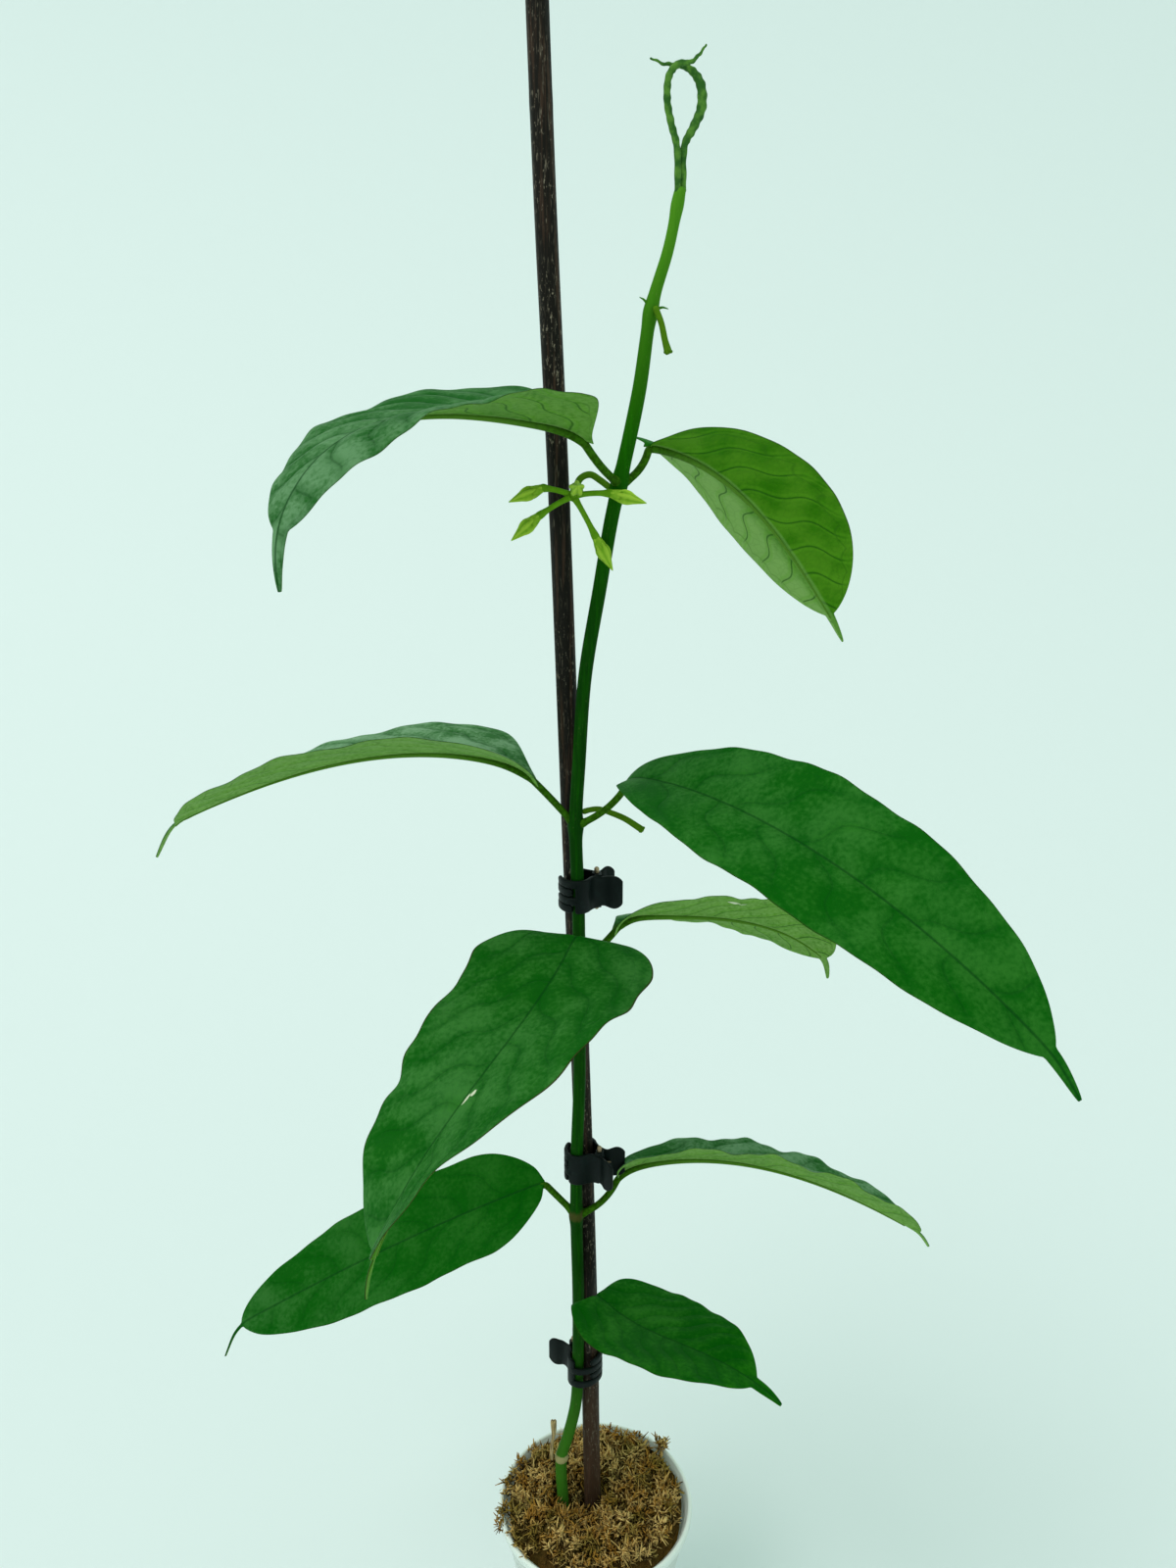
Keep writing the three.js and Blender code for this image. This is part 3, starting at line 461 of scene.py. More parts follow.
def sweep(points, side, other, outline, **values):
    """Carries an outline along a path: point + outline x side + outline y other."""
    outline = np.broadcast_to(outline, (len(points), *np.shape(outline)[-2:]))
    across = outline[..., :1] * side[:, None, :]
    up = outline[..., 1:] * other[:, None, :]
    return Shell(points[:, None, :] + across + up, values)


def angles(sides):
    """Even angles round a circle, in radians."""
    return np.arange(sides) * 2 * math.pi / sides


def circle(sides):
    """Unit circle, anticlockwise."""
    return np.stack([np.cos(angles(sides)), np.sin(angles(sides))], axis=-1)


def rounded_box(half_x, half_y, corner, steps=4):
    """Rectangle outlines with round corners, one for each entry of half_y."""
    turn = np.linspace(0, math.pi / 2, steps)
    angle = np.concatenate([turn + quarter * math.pi / 2 for quarter in range(4)])
    sign_x = np.repeat([1, -1, -1, 1], steps)
    sign_y = np.repeat([1, 1, -1, -1], steps)
    x = sign_x * (half_x - corner) + corner * np.cos(angle)
    y = sign_y * (np.asarray(half_y)[..., None] - corner) + corner * np.sin(angle)
    return np.stack([np.broadcast_to(x, y.shape), y], axis=-1)


def round_ends(points, radii, steps=4, start=True, end=True):
    """Adds half-round ends: rows at r sin(a) past the end, with radius r cos(a)."""
    angle = np.linspace(0, math.pi / 2, steps + 2)[1:-1]
    if start:
        back = unit(points[0] - points[1])
        extra = points[0] + radii[0] * np.sin(angle)[::-1, None] * back
        points = np.vstack([extra, points])
        radii = np.concatenate([radii[0] * np.cos(angle)[::-1], radii])
    if end:
        ahead = unit(points[-1] - points[-2])
        extra = points[-1] + radii[-1] * np.sin(angle)[:, None] * ahead
        points = np.vstack([points, extra])
        radii = np.concatenate([radii, radii[-1] * np.cos(angle)])
    return points, radii


def tube(points, radii, sides, reference, flatten=1.0, start=True, end=True, **values):
    """A tube with half-round ends, its outline squeezed to flatten across its side axis."""
    points, radii = round_ends(points, radii, start=start, end=end)
    side, other = axes_along(points, reference)
    outline = circle(sides) * np.array([1.0, flatten]) * radii[:, None, None]
    return sweep(points, side, other, outline, **values)


def ball(centre, radii, sides=12, rows=8):
    """An ellipsoid: rings at radius sin(a) and height -cos(a)."""
    angle = np.linspace(0.05, math.pi - 0.05, rows)
    outline = circle(sides)
    ring = np.stack([
        np.sin(angle)[:, None] * outline[:, 0],
        np.sin(angle)[:, None] * outline[:, 1],
        np.broadcast_to(-np.cos(angle)[:, None], (rows, sides)),
    ], axis=-1)
    return Shell(np.asarray(centre) + ring * np.asarray(radii))


def lathe(profile, sides, **values):
    """Turns (radius, height) points round Z; a profile listed upwards on the outside faces out."""
    profile = np.asarray(profile, float)
    ring = circle(sides)
    rings = np.concatenate([
        profile[:, None, :1] * ring[None],
        np.broadcast_to(profile[:, None, 1:], (len(profile), sides, 1)),
    ], axis=-1)
    return Shell(rings, values)


def mesh_object(name, points, faces, material):
    """A smooth-shaded object at the origin, from points in millimetres."""
    mesh = bpy.data.meshes.new(name)
    mesh.from_pydata((points * MM).tolist(), [], faces)
    mesh.materials.append(material)
    mesh.shade_smooth()
    piece = bpy.data.objects.new(name, mesh)
    bpy.context.scene.collection.objects.link(piece)
    return piece


def add_values(mesh, name, numbers):
    """Stores one number for each vertex, which materials read by name."""
    mesh.attributes.new(name, "FLOAT", "POINT").data.foreach_set("value", numbers.astype(np.float32))


def join_frame(piece, nodes, body=PLANT):
    """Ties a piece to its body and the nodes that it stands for."""
    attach(piece, body)
    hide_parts(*nodes)


def make_piece(name, shells, material, nodes, body=PLANT):
    """One object from several shells, with every value that any of them has."""
    points = [shell.points() for shell in shells]
    offsets = np.cumsum([0, *map(len, points)])
    faces = [face for shell, offset in zip(shells, offsets) for face in shell.faces(offset)]
    piece = mesh_object(name, np.vstack(points), faces, material)
    for value in sorted({key for shell in shells for key in shell.values}):
        add_values(piece.data, value, np.concatenate([shell.numbers(value) for shell in shells]))
    join_frame(piece, nodes, body)


# Shader maths

class Value:
    """A number on a node's socket. Sums, products and powers of it add their Math nodes."""

    def __init__(self, shader, socket):
        self.shader = shader
        self.socket = socket

    def __add__(self, other):
        return self.shader.math("ADD", self, other)

    def __sub__(self, other):
        return self.shader.math("SUBTRACT", self, other)

    def __rsub__(self, other):
        return self.shader.math("SUBTRACT", other, self)

    def __mul__(self, other):
        return self.shader.math("MULTIPLY", self, other)

    def __truediv__(self, other):
        return self.shader.math("DIVIDE", self, other)

    __radd__ = __add__
    __rmul__ = __mul__


class Shader:
    """One material's nodes, with a Principled surface."""

    def __init__(self, name, **uniform):
        self.material = bpy.data.materials.new(name)
        self.material.use_nodes = True
        self.tree = self.material.node_tree
        self.surface = self.tree.nodes["Principled BSDF"]
        for key, value in uniform.items():
            socket = key.replace("_", " ").title().replace("Ior", "IOR")
            self.surface.inputs[socket].default_value = value

    def node(self, kind, settings=None, **inputs):
        """Adds a node: its settings first, then a value or a link for each named input."""
        node = self.tree.nodes.new(kind)
        for name, value in (settings or {}).items():
            setattr(node, name, value)
        for name, value in inputs.items():
            self.fill(node.inputs[name], value)
        return node

    def fill(self, socket, value):
        """Links a wrapped value or a socket, or sets a plain number or colour."""
        if isinstance(value, Value):
            value = value.socket
        if isinstance(value, bpy.types.NodeSocket):
            self.tree.links.new(value, socket)
        else:
            socket.default_value = value

    def math(self, operation, *terms, clamp=False):
        """One Math node."""
        node = self.tree.nodes.new("ShaderNodeMath")
        node.operation = operation
        node.use_clamp = clamp
        for socket, term in zip(node.inputs, terms):
            self.fill(socket, term)
        return Value(self, node.outputs[0])

    def absolute(self, x):
        return self.math("ABSOLUTE", x)

    def fract(self, x):
        return self.math("FRACT", x)

    def sine(self, x):
        return self.math("SINE", x)

    def cosine(self, x):
        return self.math("COSINE", x)

    def greater(self, a, b):
        return self.math("GREATER_THAN", a, b)

    def larger(self, a, b):
        return self.math("MAXIMUM", a, b)

    def ramp(self, x, low, high):
        """0 below low and 1 above high, eased between, as eased() is on arrays."""
        node = self.node("ShaderNodeMapRange", {"interpolation_type": "SMOOTHSTEP"})
        for socket, value in zip(node.inputs, (x, low, high, 0.0, 1.0)):
            self.fill(socket, value)
        return Value(self, node.outputs[0])

    def attribute(self, name):
        """A number that the mesh holds at each vertex."""
        node = self.node("ShaderNodeAttribute", {"attribute_name": name})
        return Value(self, node.outputs["Fac"])

    def place(self):
        """Object coordinates, in metres."""
        return self.node("ShaderNodeTexCoord").outputs["Object"]

    def height(self):
        """Height above the cup's base, in millimetres."""
        split = self.node("ShaderNodeSeparateXYZ", Vector=self.place())
        return Value(self, split.outputs["Z"]) / MM

    def noise(self, grain, detail=2.0, stretch=(1, 1, 1), shift=0.0, rough=0.5):
        """Soft noise from 0 to 1, its grain in millimetres, drawn out along an axis by stretch."""
        scale = tuple(1 / (grain * MM * k) for k in stretch)
        place = self.node(
            "ShaderNodeMapping", Vector=self.place(), Scale=scale, Location=(shift, shift, shift)
        )
        node = self.node(
            "ShaderNodeTexNoise", Vector=place.outputs[0], Scale=1.0, Detail=detail, Roughness=rough
        )
        return Value(self, node.outputs[0])

    def cells(self, size, feature="DISTANCE_TO_EDGE"):
        """Distance to the nearest edge of irregular cells, as a share of their size."""
        node = self.node(
            "ShaderNodeTexVoronoi", {"feature": feature}, Vector=self.place(), Scale=1 / (size * MM)
        )
        return Value(self, node.outputs["Distance"])

    def mix(self, factor, low, high):
        """A colour between two, each a socket or three numbers."""
        node = self.node("ShaderNodeMix", {"data_type": "RGBA"})
        self.fill(node.inputs[0], factor)
        for socket, value in ((node.inputs[6], low), (node.inputs[7], high)):
            self.fill(socket, value if isinstance(value, bpy.types.NodeSocket) else (*value, 1))
        return node.outputs[2]

    def colour(self, value):
        self.fill(self.surface.inputs["Base Color"], value)

    def roughness(self, value):
        self.fill(self.surface.inputs["Roughness"], value)

    def bump(self, height, depth):
        """Raises the surface by height x depth, the depth in millimetres."""
        node = self.node("ShaderNodeBump", Height=height, Distance=depth * MM, Strength=1.0)
        self.fill(self.surface.inputs["Normal"], node.outputs[0])


class Arrays:
    """The same functions as Shader's, on numpy arrays, so that a pattern is written once."""

    absolute = staticmethod(np.abs)
    fract = staticmethod(lambda x: x - np.floor(x))
    sine = staticmethod(np.sin)
    cosine = staticmethod(np.cos)
    greater = staticmethod(lambda a, b: (a > b).astype(float))
    larger = staticmethod(np.maximum)
    ramp = staticmethod(eased)


def scaled(colour_value, factor):
    """A colour times a number."""
    return tuple(factor * c for c in colour_value)


# Settings

def colour(name, value, description):
    return FloatVectorProperty(
        name=name, description=description, subtype="COLOR", size=3, min=0, max=1, default=value
    )


def length(name, millimetres, description):
    return FloatProperty(
        name=name, description=description, unit="LENGTH", precision=5, min=0, default=millimetres * MM
    )


def share(name, value, description):
    return FloatProperty(
        name=name, description=description, subtype="FACTOR", min=0, max=1, default=value
    )


class StageSettings(PropertyGroup):
    floor: colour("Floor", (0.80, 0.86, 0.86), "Colour of the floor and backdrop")
    ambient: colour("Ambient", (0.78, 1.0, 0.90), "Colour of the light from all round")
    ambient_strength: FloatProperty(
        name="Ambient strength", description="Strength of the light from all round", min=0, default=0.74
    )
    key: colour("Key light", (1.0, 0.93, 0.95), "Colour of the large light at the upper left")
    key_power: FloatProperty(
        name="Key power", description="Power of the large light", min=0, default=312.0
    )


class CupSettings(PropertyGroup):
    plastic: colour("Plastic", (0.80, 0.85, 0.80), "Colour of the translucent plastic")
    opacity: share("Opacity", 0.72, "How much of the moss the wall hides")
    rim_bead: length("Rim bead", 0.9, "Radius of the rolled bead round the rim")


class MossSettings(PropertyGroup):
    # Painted shade: the near black deep between the crumbs stands for shade.
    dark: colour("Dark", (0.022, 0.013, 0.003), "Colour deep between the crumbs")
    tan: colour("Tan", (0.42, 0.205, 0.034), "Colour of most crumbs")
    pale: colour("Pale", (0.82, 0.56, 0.21), "Colour of the driest crumbs")
    olive: colour("Olive", (0.22, 0.165, 0.028), "Colour of the damp patches")
    clumps: IntProperty(name="Clumps", description="Number of clumps", min=10, max=900, default=340)
    crumbs: IntProperty(name="Crumbs", description="Crumbs in each clump", min=3, max=40, default=25)
    crumb_length: length("Crumb length", 1.8, "Length of a crumb")
    seed: IntProperty(name="Seed", description="Seed of the random draws", default=7)


class CaneSettings(PropertyGroup):
    bark: colour("Bark", (0.0085, 0.0065, 0.0045), "Colour of the dark upper cane")
    foot: colour("Foot", (0.040, 0.020, 0.011), "Colour of the browner foot")
    fleck: colour("Fleck", (0.33, 0.27, 0.20), "Colour of the worn flecks")
    brown: colour("Brown", (0.085, 0.042, 0.026), "Colour of the brown streaks")
    thread: colour("Thread", (0.15, 0.12, 0.09), "Colour of the thin grey threads")
    relief: length("Relief", 0.10, "Depth of the long grooves")


class StemSettings(PropertyGroup):
    young: colour("Young", (0.010, 0.108, 0.0008), "Colour of the young upper stem")
    # Partly painted shade: the older stem's own darker green, darkened further for the shade of the
    # leaves above.
    old_and_shaded: colour("Old", (0.005, 0.050, 0.003), "Colour of the older stem")
    tip: colour("Tip", (0.085, 0.270, 0.015), "Colour of the soft stem at the tip")
    foot: colour("Foot", (0.055, 0.180, 0.016), "Colour of the stem by the moss")
    speck: colour("Speck", (0.20, 0.24, 0.08), "Colour of the small specks")
    scar: colour("Scar", (0.11, 0.075, 0.025), "Colour of the brown scar under the middle clip")
    ring: colour("Ring", (0.33, 0.29, 0.13), "Colour of the dry ring at the lowest node")
    stalk: colour("Stalk", (0.042, 0.145, 0.005), "Colour of the leaf stalks")
    midrib: colour("Midrib", (0.120, 0.270, 0.030), "Colour of the midribs under the leaves")
    dry: colour("Dry", (0.50, 0.36, 0.17), "Colour of the dried stub")
    new_leaf: colour("New leaf", (0.10, 0.25, 0.03), "Colour of the two young leaves")
    new_shade: colour("New leaf, shaded", (0.025, 0.115, 0.012), "Their darker patches")


class LeafSettings(PropertyGroup):
    upper_light: colour("Upper, light", (0.018, 0.175, 0.004), "Upper side between the veins")
    upper_dark: colour("Upper, dark", (0.0020, 0.100, 0.002), "Upper side's darker patches")
    # The deepest upper green, which each leaf mixes in by its own shade value.
    upper_deep: colour("Upper, old", (0.0003, 0.085, 0.0005), "Upper side of the lowest leaves")
    upper_vein: colour("Upper vein", (0.002, 0.045, 0.006), "Sunken veins on the upper side")
    # Partly painted light: the underside's own paler green, lightened further as painted light shining
    # through the blade.
    under_light: colour("Under, light", (0.090, 0.270, 0.012), "Underside's paler patches")
    under_dark: colour("Under, dark", (0.032, 0.180, 0.002), "Underside's darker patches")
    under_vein: colour("Under vein", (0.020, 0.105, 0.006), "Veins on the underside")
    # Painted sheen: a pale sage reflection painted into an underside's colour; the same colour tints
    # the strip along the midrib.
    under_sheen: colour("Bloom", (0.270, 0.470, 0.130), "Pale waxy bloom on an underside")
    # Painted sheen: a pale reflection painted into an upper side's colour.
    sheen: colour("Sheen", (0.200, 0.360, 0.200), "Pale sheen on an upper side")
    edge: colour("Edge", (0.045, 0.035, 0.012), "Thin brown margin of the oldest leaves")
    scar: colour("Scar", (0.72, 0.74, 0.55), "Small dry scars")
    thickness: length("Thickness", 0.7, "Thickness of the blade")
    quilting: length("Quilting", 0.65, "Height of the blade between its veins")
    vein_depth: length("Vein depth", 0.22, "Depth of the sunken veins")


class FlowerSettings(PropertyGroup):
    # Painted light: the ridges' painted highlights run up to this colour, and bud_shade is their
    # painted shade.
    bud: colour("Bud", (0.380, 0.580, 0.050), "Colour of the buds")
    bud_shade: colour("Bud, shaded", (0.165, 0.370, 0.015), "Colour at the buds' base and furrows")
    stalk: colour("Stalk", (0.140, 0.340, 0.012), "Colour of the bud stalks")
    ridge: share("Ridge", 0.13, "How far the five ridges stand out")


class ClipSettings(PropertyGroup):
    plastic: colour("Plastic", (0.0032, 0.0068, 0.0064), "Colour of the clips' plastic")
    steel: colour("Steel", (0.52, 0.38, 0.24), "Colour of the tarnished pin and spring")
    corner: length("Corner", 0.42, "Radius of the moulded edges")


SETTINGS = {
    "hoya_stage": StageSettings,
    "hoya_cup": CupSettings,
    "hoya_moss": MossSettings,
    "hoya_cane": CaneSettings,
    "hoya_stem": StemSettings,
    "hoya_leaf": LeafSettings,
    "hoya_flower": FlowerSettings,
    "hoya_clip": ClipSettings,
}


# Cup and moss

def cup_inner_radius(z):
    """The wall's inner radius, from the base to the rim's foot, straight between."""
    wall_top = CUP["height"] - CUP["rim_height"]
    t = np.clip(np.asarray(z) / wall_top, 0, 1)
    return lerp(CUP["base_radius"], CUP["top_radius"], t) - CUP["wall"]


def cup_profile(bead):
    """Half section of the cup, up the outside, over the rolled bead and down the inside."""
    wall_top = CUP["height"] - CUP["rim_height"]
    base, top, rim = CUP["base_radius"], CUP["top_radius"], CUP["rim_radius"]
    foot = [(0.02, 0.0), (base - 5.2, 0.0), (base - 4.4, 0.5), (base - 2.6, 0.5), (base - 2.0, 0.0),
            (base - 0.9, 0.0), (base - 0.25, 0.35), (base + 0.05, 1.1)]
    step = CUP["step_height"]
    at_step = lerp(base, top, step / wall_top)
    wall = [(at_step, step), (at_step + CUP["step_out"], step + 0.5), (top - 0.1, wall_top - 1.2)]
    lip = [(top + 0.15, wall_top - 0.4), (rim - 0.7, wall_top - 0.15), (rim - 0.12, wall_top + 0.35),
           (rim, wall_top + 1.0), (rim - 0.05, CUP["height"] - bead)]
    turn = np.linspace(0.15, math.pi - 0.1, 10)
    over = [(rim - bead + bead * math.cos(a), CUP["height"] - bead + bead * math.sin(a)) for a in turn]
    inner = [(rim - CUP["rim_inset"], CUP["height"] - bead - 0.7), (top - CUP["wall"], wall_top - 0.8),
             (base - CUP["wall"], CUP["floor"]), (0.02, CUP["floor"])]
    return foot + wall + lip + over + inner


def subdivide(profile, longest):
    """Adds points so that no stretch of the profile is longer than given."""
    out = [profile[0]]
    for a, b in zip(profile, profile[1:]):
        count = max(1, math.ceil(math.dist(a, b) / longest))
        out += [tuple(lerp(p, q, k / count) for p, q in zip(a, b)) for k in range(1, count + 1)]
    return out


def cup_material(looks):
    """Milky translucent plastic, denser at its rim, with faint mould lines and scuffs."""
    shader = Shader("cup_plastic", ior=1.49, specular_ior_level=0.5)
    cloud = shader.noise(14, detail=3)
    scuff = shader.ramp(shader.noise(1.6, detail=4, stretch=(1, 1, 3)), 0.58, 0.75)
    milky = tuple(min(1, c * 1.1) for c in looks.plastic)
    shader.colour(shader.mix(cloud, looks.plastic, milky))
    shader.roughness(0.28 + scuff * 0.2)
    rim = shader.ramp(shader.height(), CUP["height"] - CUP["rim_height"] - 2, CUP["height"] - 1)
    shader.fill(shader.surface.inputs["Alpha"], rim * (0.97 - looks.opacity) + looks.opacity)
    shader.bump(shader.noise(0.9, detail=2, stretch=(1, 1, 6)), 0.02)
    return shader.material


def make_cup(looks):
    """Turns the cup's section round Z in 160 steps."""
    profile = subdivide(cup_profile(looks.rim_bead / MM), 4.0)
    make_piece("cup_fine", [lathe(profile, 160)], cup_material(looks), ["cup"])


def moss_height(x, y):
    """A low crown less a dip round the stems, with broad lumps and small ones by sines."""
    edge = cup_inner_radius(CUP["height"]) - 0.3
    r2 = np.minimum((x * x + y * y) / edge**2, 1.0)
    crown = lerp(MOSS["crown_height"], MOSS["edge_height"], r2**2)
    away = ((x - MOSS["dip"][0]) ** 2 + (y - MOSS["dip"][1]) ** 2) / MOSS["dip_width"] ** 2
    lumps = np.sin(0.61 * x + 1) * np.cos(0.53 * y) + 0.6 * np.sin(0.9 * y - 0.47 * x)
    small = np.sin(1.7 * x + 0.8 * y) * np.sin(1.9 * y - 0.6 * x)
    small = small + 0.6 * np.sin(3.1 * x) * np.sin(2.7 * y + 1)
    dip = MOSS["dip_depth"] * np.exp(-away)
    return crown - dip + MOSS["lump_height"] * lumps * (1 - 0.6 * r2) + 0.45 * small


def moss_material(looks, name):
    """Dry moss: painted shade near black in its gaps, ochre on most crumbs, pale on some, olive in damp
    patches.
    """
    shader = Shader(name, roughness=0.95, specular_ior_level=0.05)
    tone = shader.attribute("tone")
    patch = shader.ramp(shader.noise(9, detail=2, shift=3.1), 0.5, 0.66)
    grain = shader.noise(0.55, detail=3)
    main = shader.mix(shader.ramp(tone + grain * 0.6, 0.45, 1.2), looks.tan, looks.pale)
    main = shader.mix(patch * 0.7, main, looks.olive)
    # Painted light and shade: where the lit value is low, the near black gap colour takes over.
    lit = shader.ramp(shader.attribute("lit") + grain * 0.3 - 0.15, 0.0, 0.9)
    shader.colour(shader.mix(lit, looks.dark, main))
    shader.bump(grain, 0.3)
    return shader.material


def moss_bed():
    """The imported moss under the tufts: up the cup's wall, then in over the crown."""
    sides, rings, levels = 150, 46, 26
    ring = circle(sides)
    z = np.linspace(CUP["floor"] + 0.4, 68.0, levels)
    rough = 0.35 * np.sin(np.arange(sides) * 0.9)[None] * np.sin(z * 1.3)[:, None]
    radii = (cup_inner_radius(z) - 0.75)[:, None] + rough
    upright = np.broadcast_to(z[:, None, None], (levels, sides, 1))
    wall = np.concatenate([radii[..., None] * ring, upright], -1)
    edge = cup_inner_radius(69.0) - 0.6
    flat = np.linspace(1, 0.01, rings)[:, None, None] * edge * ring
    top = np.concatenate([flat, (moss_height(flat[..., 0], flat[..., 1]) - 0.8)[..., None]], -1)
    # Painted shade: the bed's top under the tufts gets a low lit value, its wall more.
    lit = np.concatenate([np.full(levels, 0.62), np.full(rings, 0.18)])
    return Shell(np.concatenate([wall, top]), {"tone": 0.25, "lit": lit[:, None]})


def bits(roots, aims, bends, lengths, widths, tones, lights, profile, sides):
    """Small curled bits: root + L (t aim + t^2 bend), as thick as width x profile, and flattened."""
    t = np.linspace(0, 1, len(profile))[None, :, None]
    line = roots[:, None] + lengths[:, None, None] * (t * aims[:, None] + t**2 * bends[:, None])
    along = unit(aims[:, None] + 2 * t * bends[:, None])
    side = unit(np.cross(along, np.array([0.31, 0.17, 0.93])))
    other = np.cross(along, side)
    radius = (widths[:, None] * np.array(profile))[..., None, None]
    ring = circle(sides) * radius * np.array([1.0, 0.6])
    rings = line[:, :, None] + ring[..., :1] * side[:, :, None] + ring[..., 1:] * other[:, :, None]
    # Painted shade: the lit value falls towards each bit's root.
    return Bits(rings, {"tone": tones[:, None, None], "lit": lights[:, None, None] * (0.6 + 0.4 * t)})


def from_stems(x, y):
    """Distance to the nearer of the cane and the stem where they enter the moss."""
    bases = np.array([at_height(CANE_PATH, CUP["height"]), at_height(STEM_PATH, CUP["height"])])
    away = np.hypot(x[:, None] - bases[:, 0], y[:, None] - bases[:, 1])
    return away.min(axis=1)


def clump_bits(random, centres, rise, each, looks):
    """A tuft of crumbs round each centre, which point out of it and up.

    The crumbs high in a tuft get the most painted light, and so do the tufts with much rise; those near
    the stems get painted shade.
    """
    count = len(centres) * each
    spread = unit(random.normal(0, 1, (count, 3))) * np.sqrt(random.uniform(0.1, 1, (count, 1)))
    roots = np.repeat(centres, each, axis=0) + spread * np.array([1.9, 1.9, 1.1])
    aims = unit(0.7 * spread + random.normal(0, 0.6, (count, 3)) + np.array([0, 0, 0.3]))
    bends = random.normal(0, 0.5, (count, 3))
    lengths = looks.crumb_length / MM * random.uniform(0.6, 1.4, count)
    widths = random.uniform(0.26, 0.52, count)
    tones = np.repeat(random.uniform(0.1, 0.9, len(centres)), each) + random.normal(0, 0.13, count)
    # Painted light on high crumbs and raised tufts, and painted shade near the cane and the stem.
    lights = np.clip(0.50 + 0.20 * np.repeat(rise, each) + 0.50 * spread[:, 2], 0.06, 1)
    lights = lights * eased(from_stems(roots[:, 0], roots[:, 1]), 2.0, 7.0)
    return bits(roots, aims, bends, lengths, widths, tones, lights, CRUMB_PROFILE, 4)


def moss_crumbs(random, looks):
    """Clumps on a sunflower spiral, a little out of place, over the whole of the moss."""
    number = np.arange(looks.clumps) + 0.5
    radius = MOSS["reach"] * np.sqrt(number / looks.clumps)
    angle = number * math.pi * (3 - math.sqrt(5))
    jitter = random.normal(0, 0.6, (looks.clumps, 2))
    x, y = radius * np.cos(angle) + jitter[:, 0], radius * np.sin(angle) + jitter[:, 1]
    inside = np.minimum(1, MOSS["reach"] / np.hypot(x, y))
    x, y = x * inside, y * inside
    rise = random.uniform(-1.0, 2.0, looks.clumps)
    centres = np.stack([x, y, moss_height(x, y) + rise], axis=-1)
    clear = from_stems(x, y) > 4.4
    return clump_bits(random, centres[clear], rise[clear], looks.crumbs, looks)


def rim_crumbs(random, looks):
    """The tufts that lie along the rim, and the few that hang over it."""
    angle, radius, over = np.array(RIM_CLUMPS, float).T
    centres = np.stack(
        [radius * np.cos(angle * DEG), radius * np.sin(angle * DEG), CUP["height"] + over], axis=-1
    )
    return clump_bits(random, centres, np.full(len(centres), 0.9), looks.crumbs, looks)


def moss_strays(random):
    """Thin fibres that lie across the tufts, a few of them near the rim."""
    count = FIBRES
    angle = random.uniform(0, 2 * math.pi, count)
    radius = np.sqrt(random.uniform(6**2, 33**2, count))
    x, y = radius * np.cos(angle), radius * np.sin(angle)
    roots = np.stack([x, y, moss_height(x, y) + random.uniform(0.4, 2.0, count)], axis=-1)
    spin = random.uniform(0, 2 * math.pi, count)
    aims = unit(np.stack([np.cos(spin), np.sin(spin), random.uniform(0.0, 0.8, count)], -1))
    bends = random.normal(0, 0.3, (count, 3)) - np.array([0, 0, 0.2])
    lengths, widths = random.uniform(2, 4.5, count), random.uniform(0.10, 0.20, count)
    tones, lights = random.uniform(0.3, 1.2, count), random.uniform(0.5, 1.0, count)
    return bits(roots, aims, bends, lengths, widths, tones, lights, FIBRE_PROFILE, 3)


def make_moss(looks):
    """The bed, and the tufts and strays joined in one mesh."""
    make_piece("moss_bed", [moss_bed()], moss_material(looks, "moss_bed"), ["moss"])
    random = np.random.default_rng(looks.seed)
    tufts = [moss_crumbs(random, looks), rim_crumbs(random, looks), moss_strays(random)]
    make_piece("moss_tufts", tufts, moss_material(looks, "moss_crumb"), ["moss"])


# Cane and stem

def cane_material(looks):
    """Dark worn wood: long grooves, pale flecks drawn out along it, browner at its foot."""
    shader = Shader("cane_bark", specular_ior_level=0.12)
    groove = shader.noise(0.8, detail=4, stretch=(1, 1, 14), rough=0.6)
    streak = shader.noise(1.5, detail=3, stretch=(1, 1, 22), shift=7.0)
    thread = shader.noise(0.42, detail=3, stretch=(1, 1, 12), shift=5.0)
    worn = shader.noise(24, detail=2, shift=1.7)
    fleck = shader.noise(0.62, detail=3, stretch=(1, 1, 3.2), shift=2.3, rough=0.65)
    foot = 1 - shader.ramp(shader.height(), 118, 150)
    base = shader.mix(foot, looks.bark, looks.foot)
    brown = shader.mix(shader.ramp(streak, 0.50, 0.68) * 0.5, base, looks.brown)
    brown = shader.mix(shader.ramp(thread, 0.58, 0.72) * 0.5, brown, looks.thread)
    marks = shader.ramp(fleck, 0.58, 0.70) * shader.ramp(worn, 0.34, 0.60)
    shader.colour(shader.mix(marks * (0.9 - foot * 0.6), brown, looks.fleck))
    shader.roughness(0.42 + groove * 0.3)
    shader.bump(groove + marks * 0.3, looks.relief / MM * 1.4)
    return shader.material


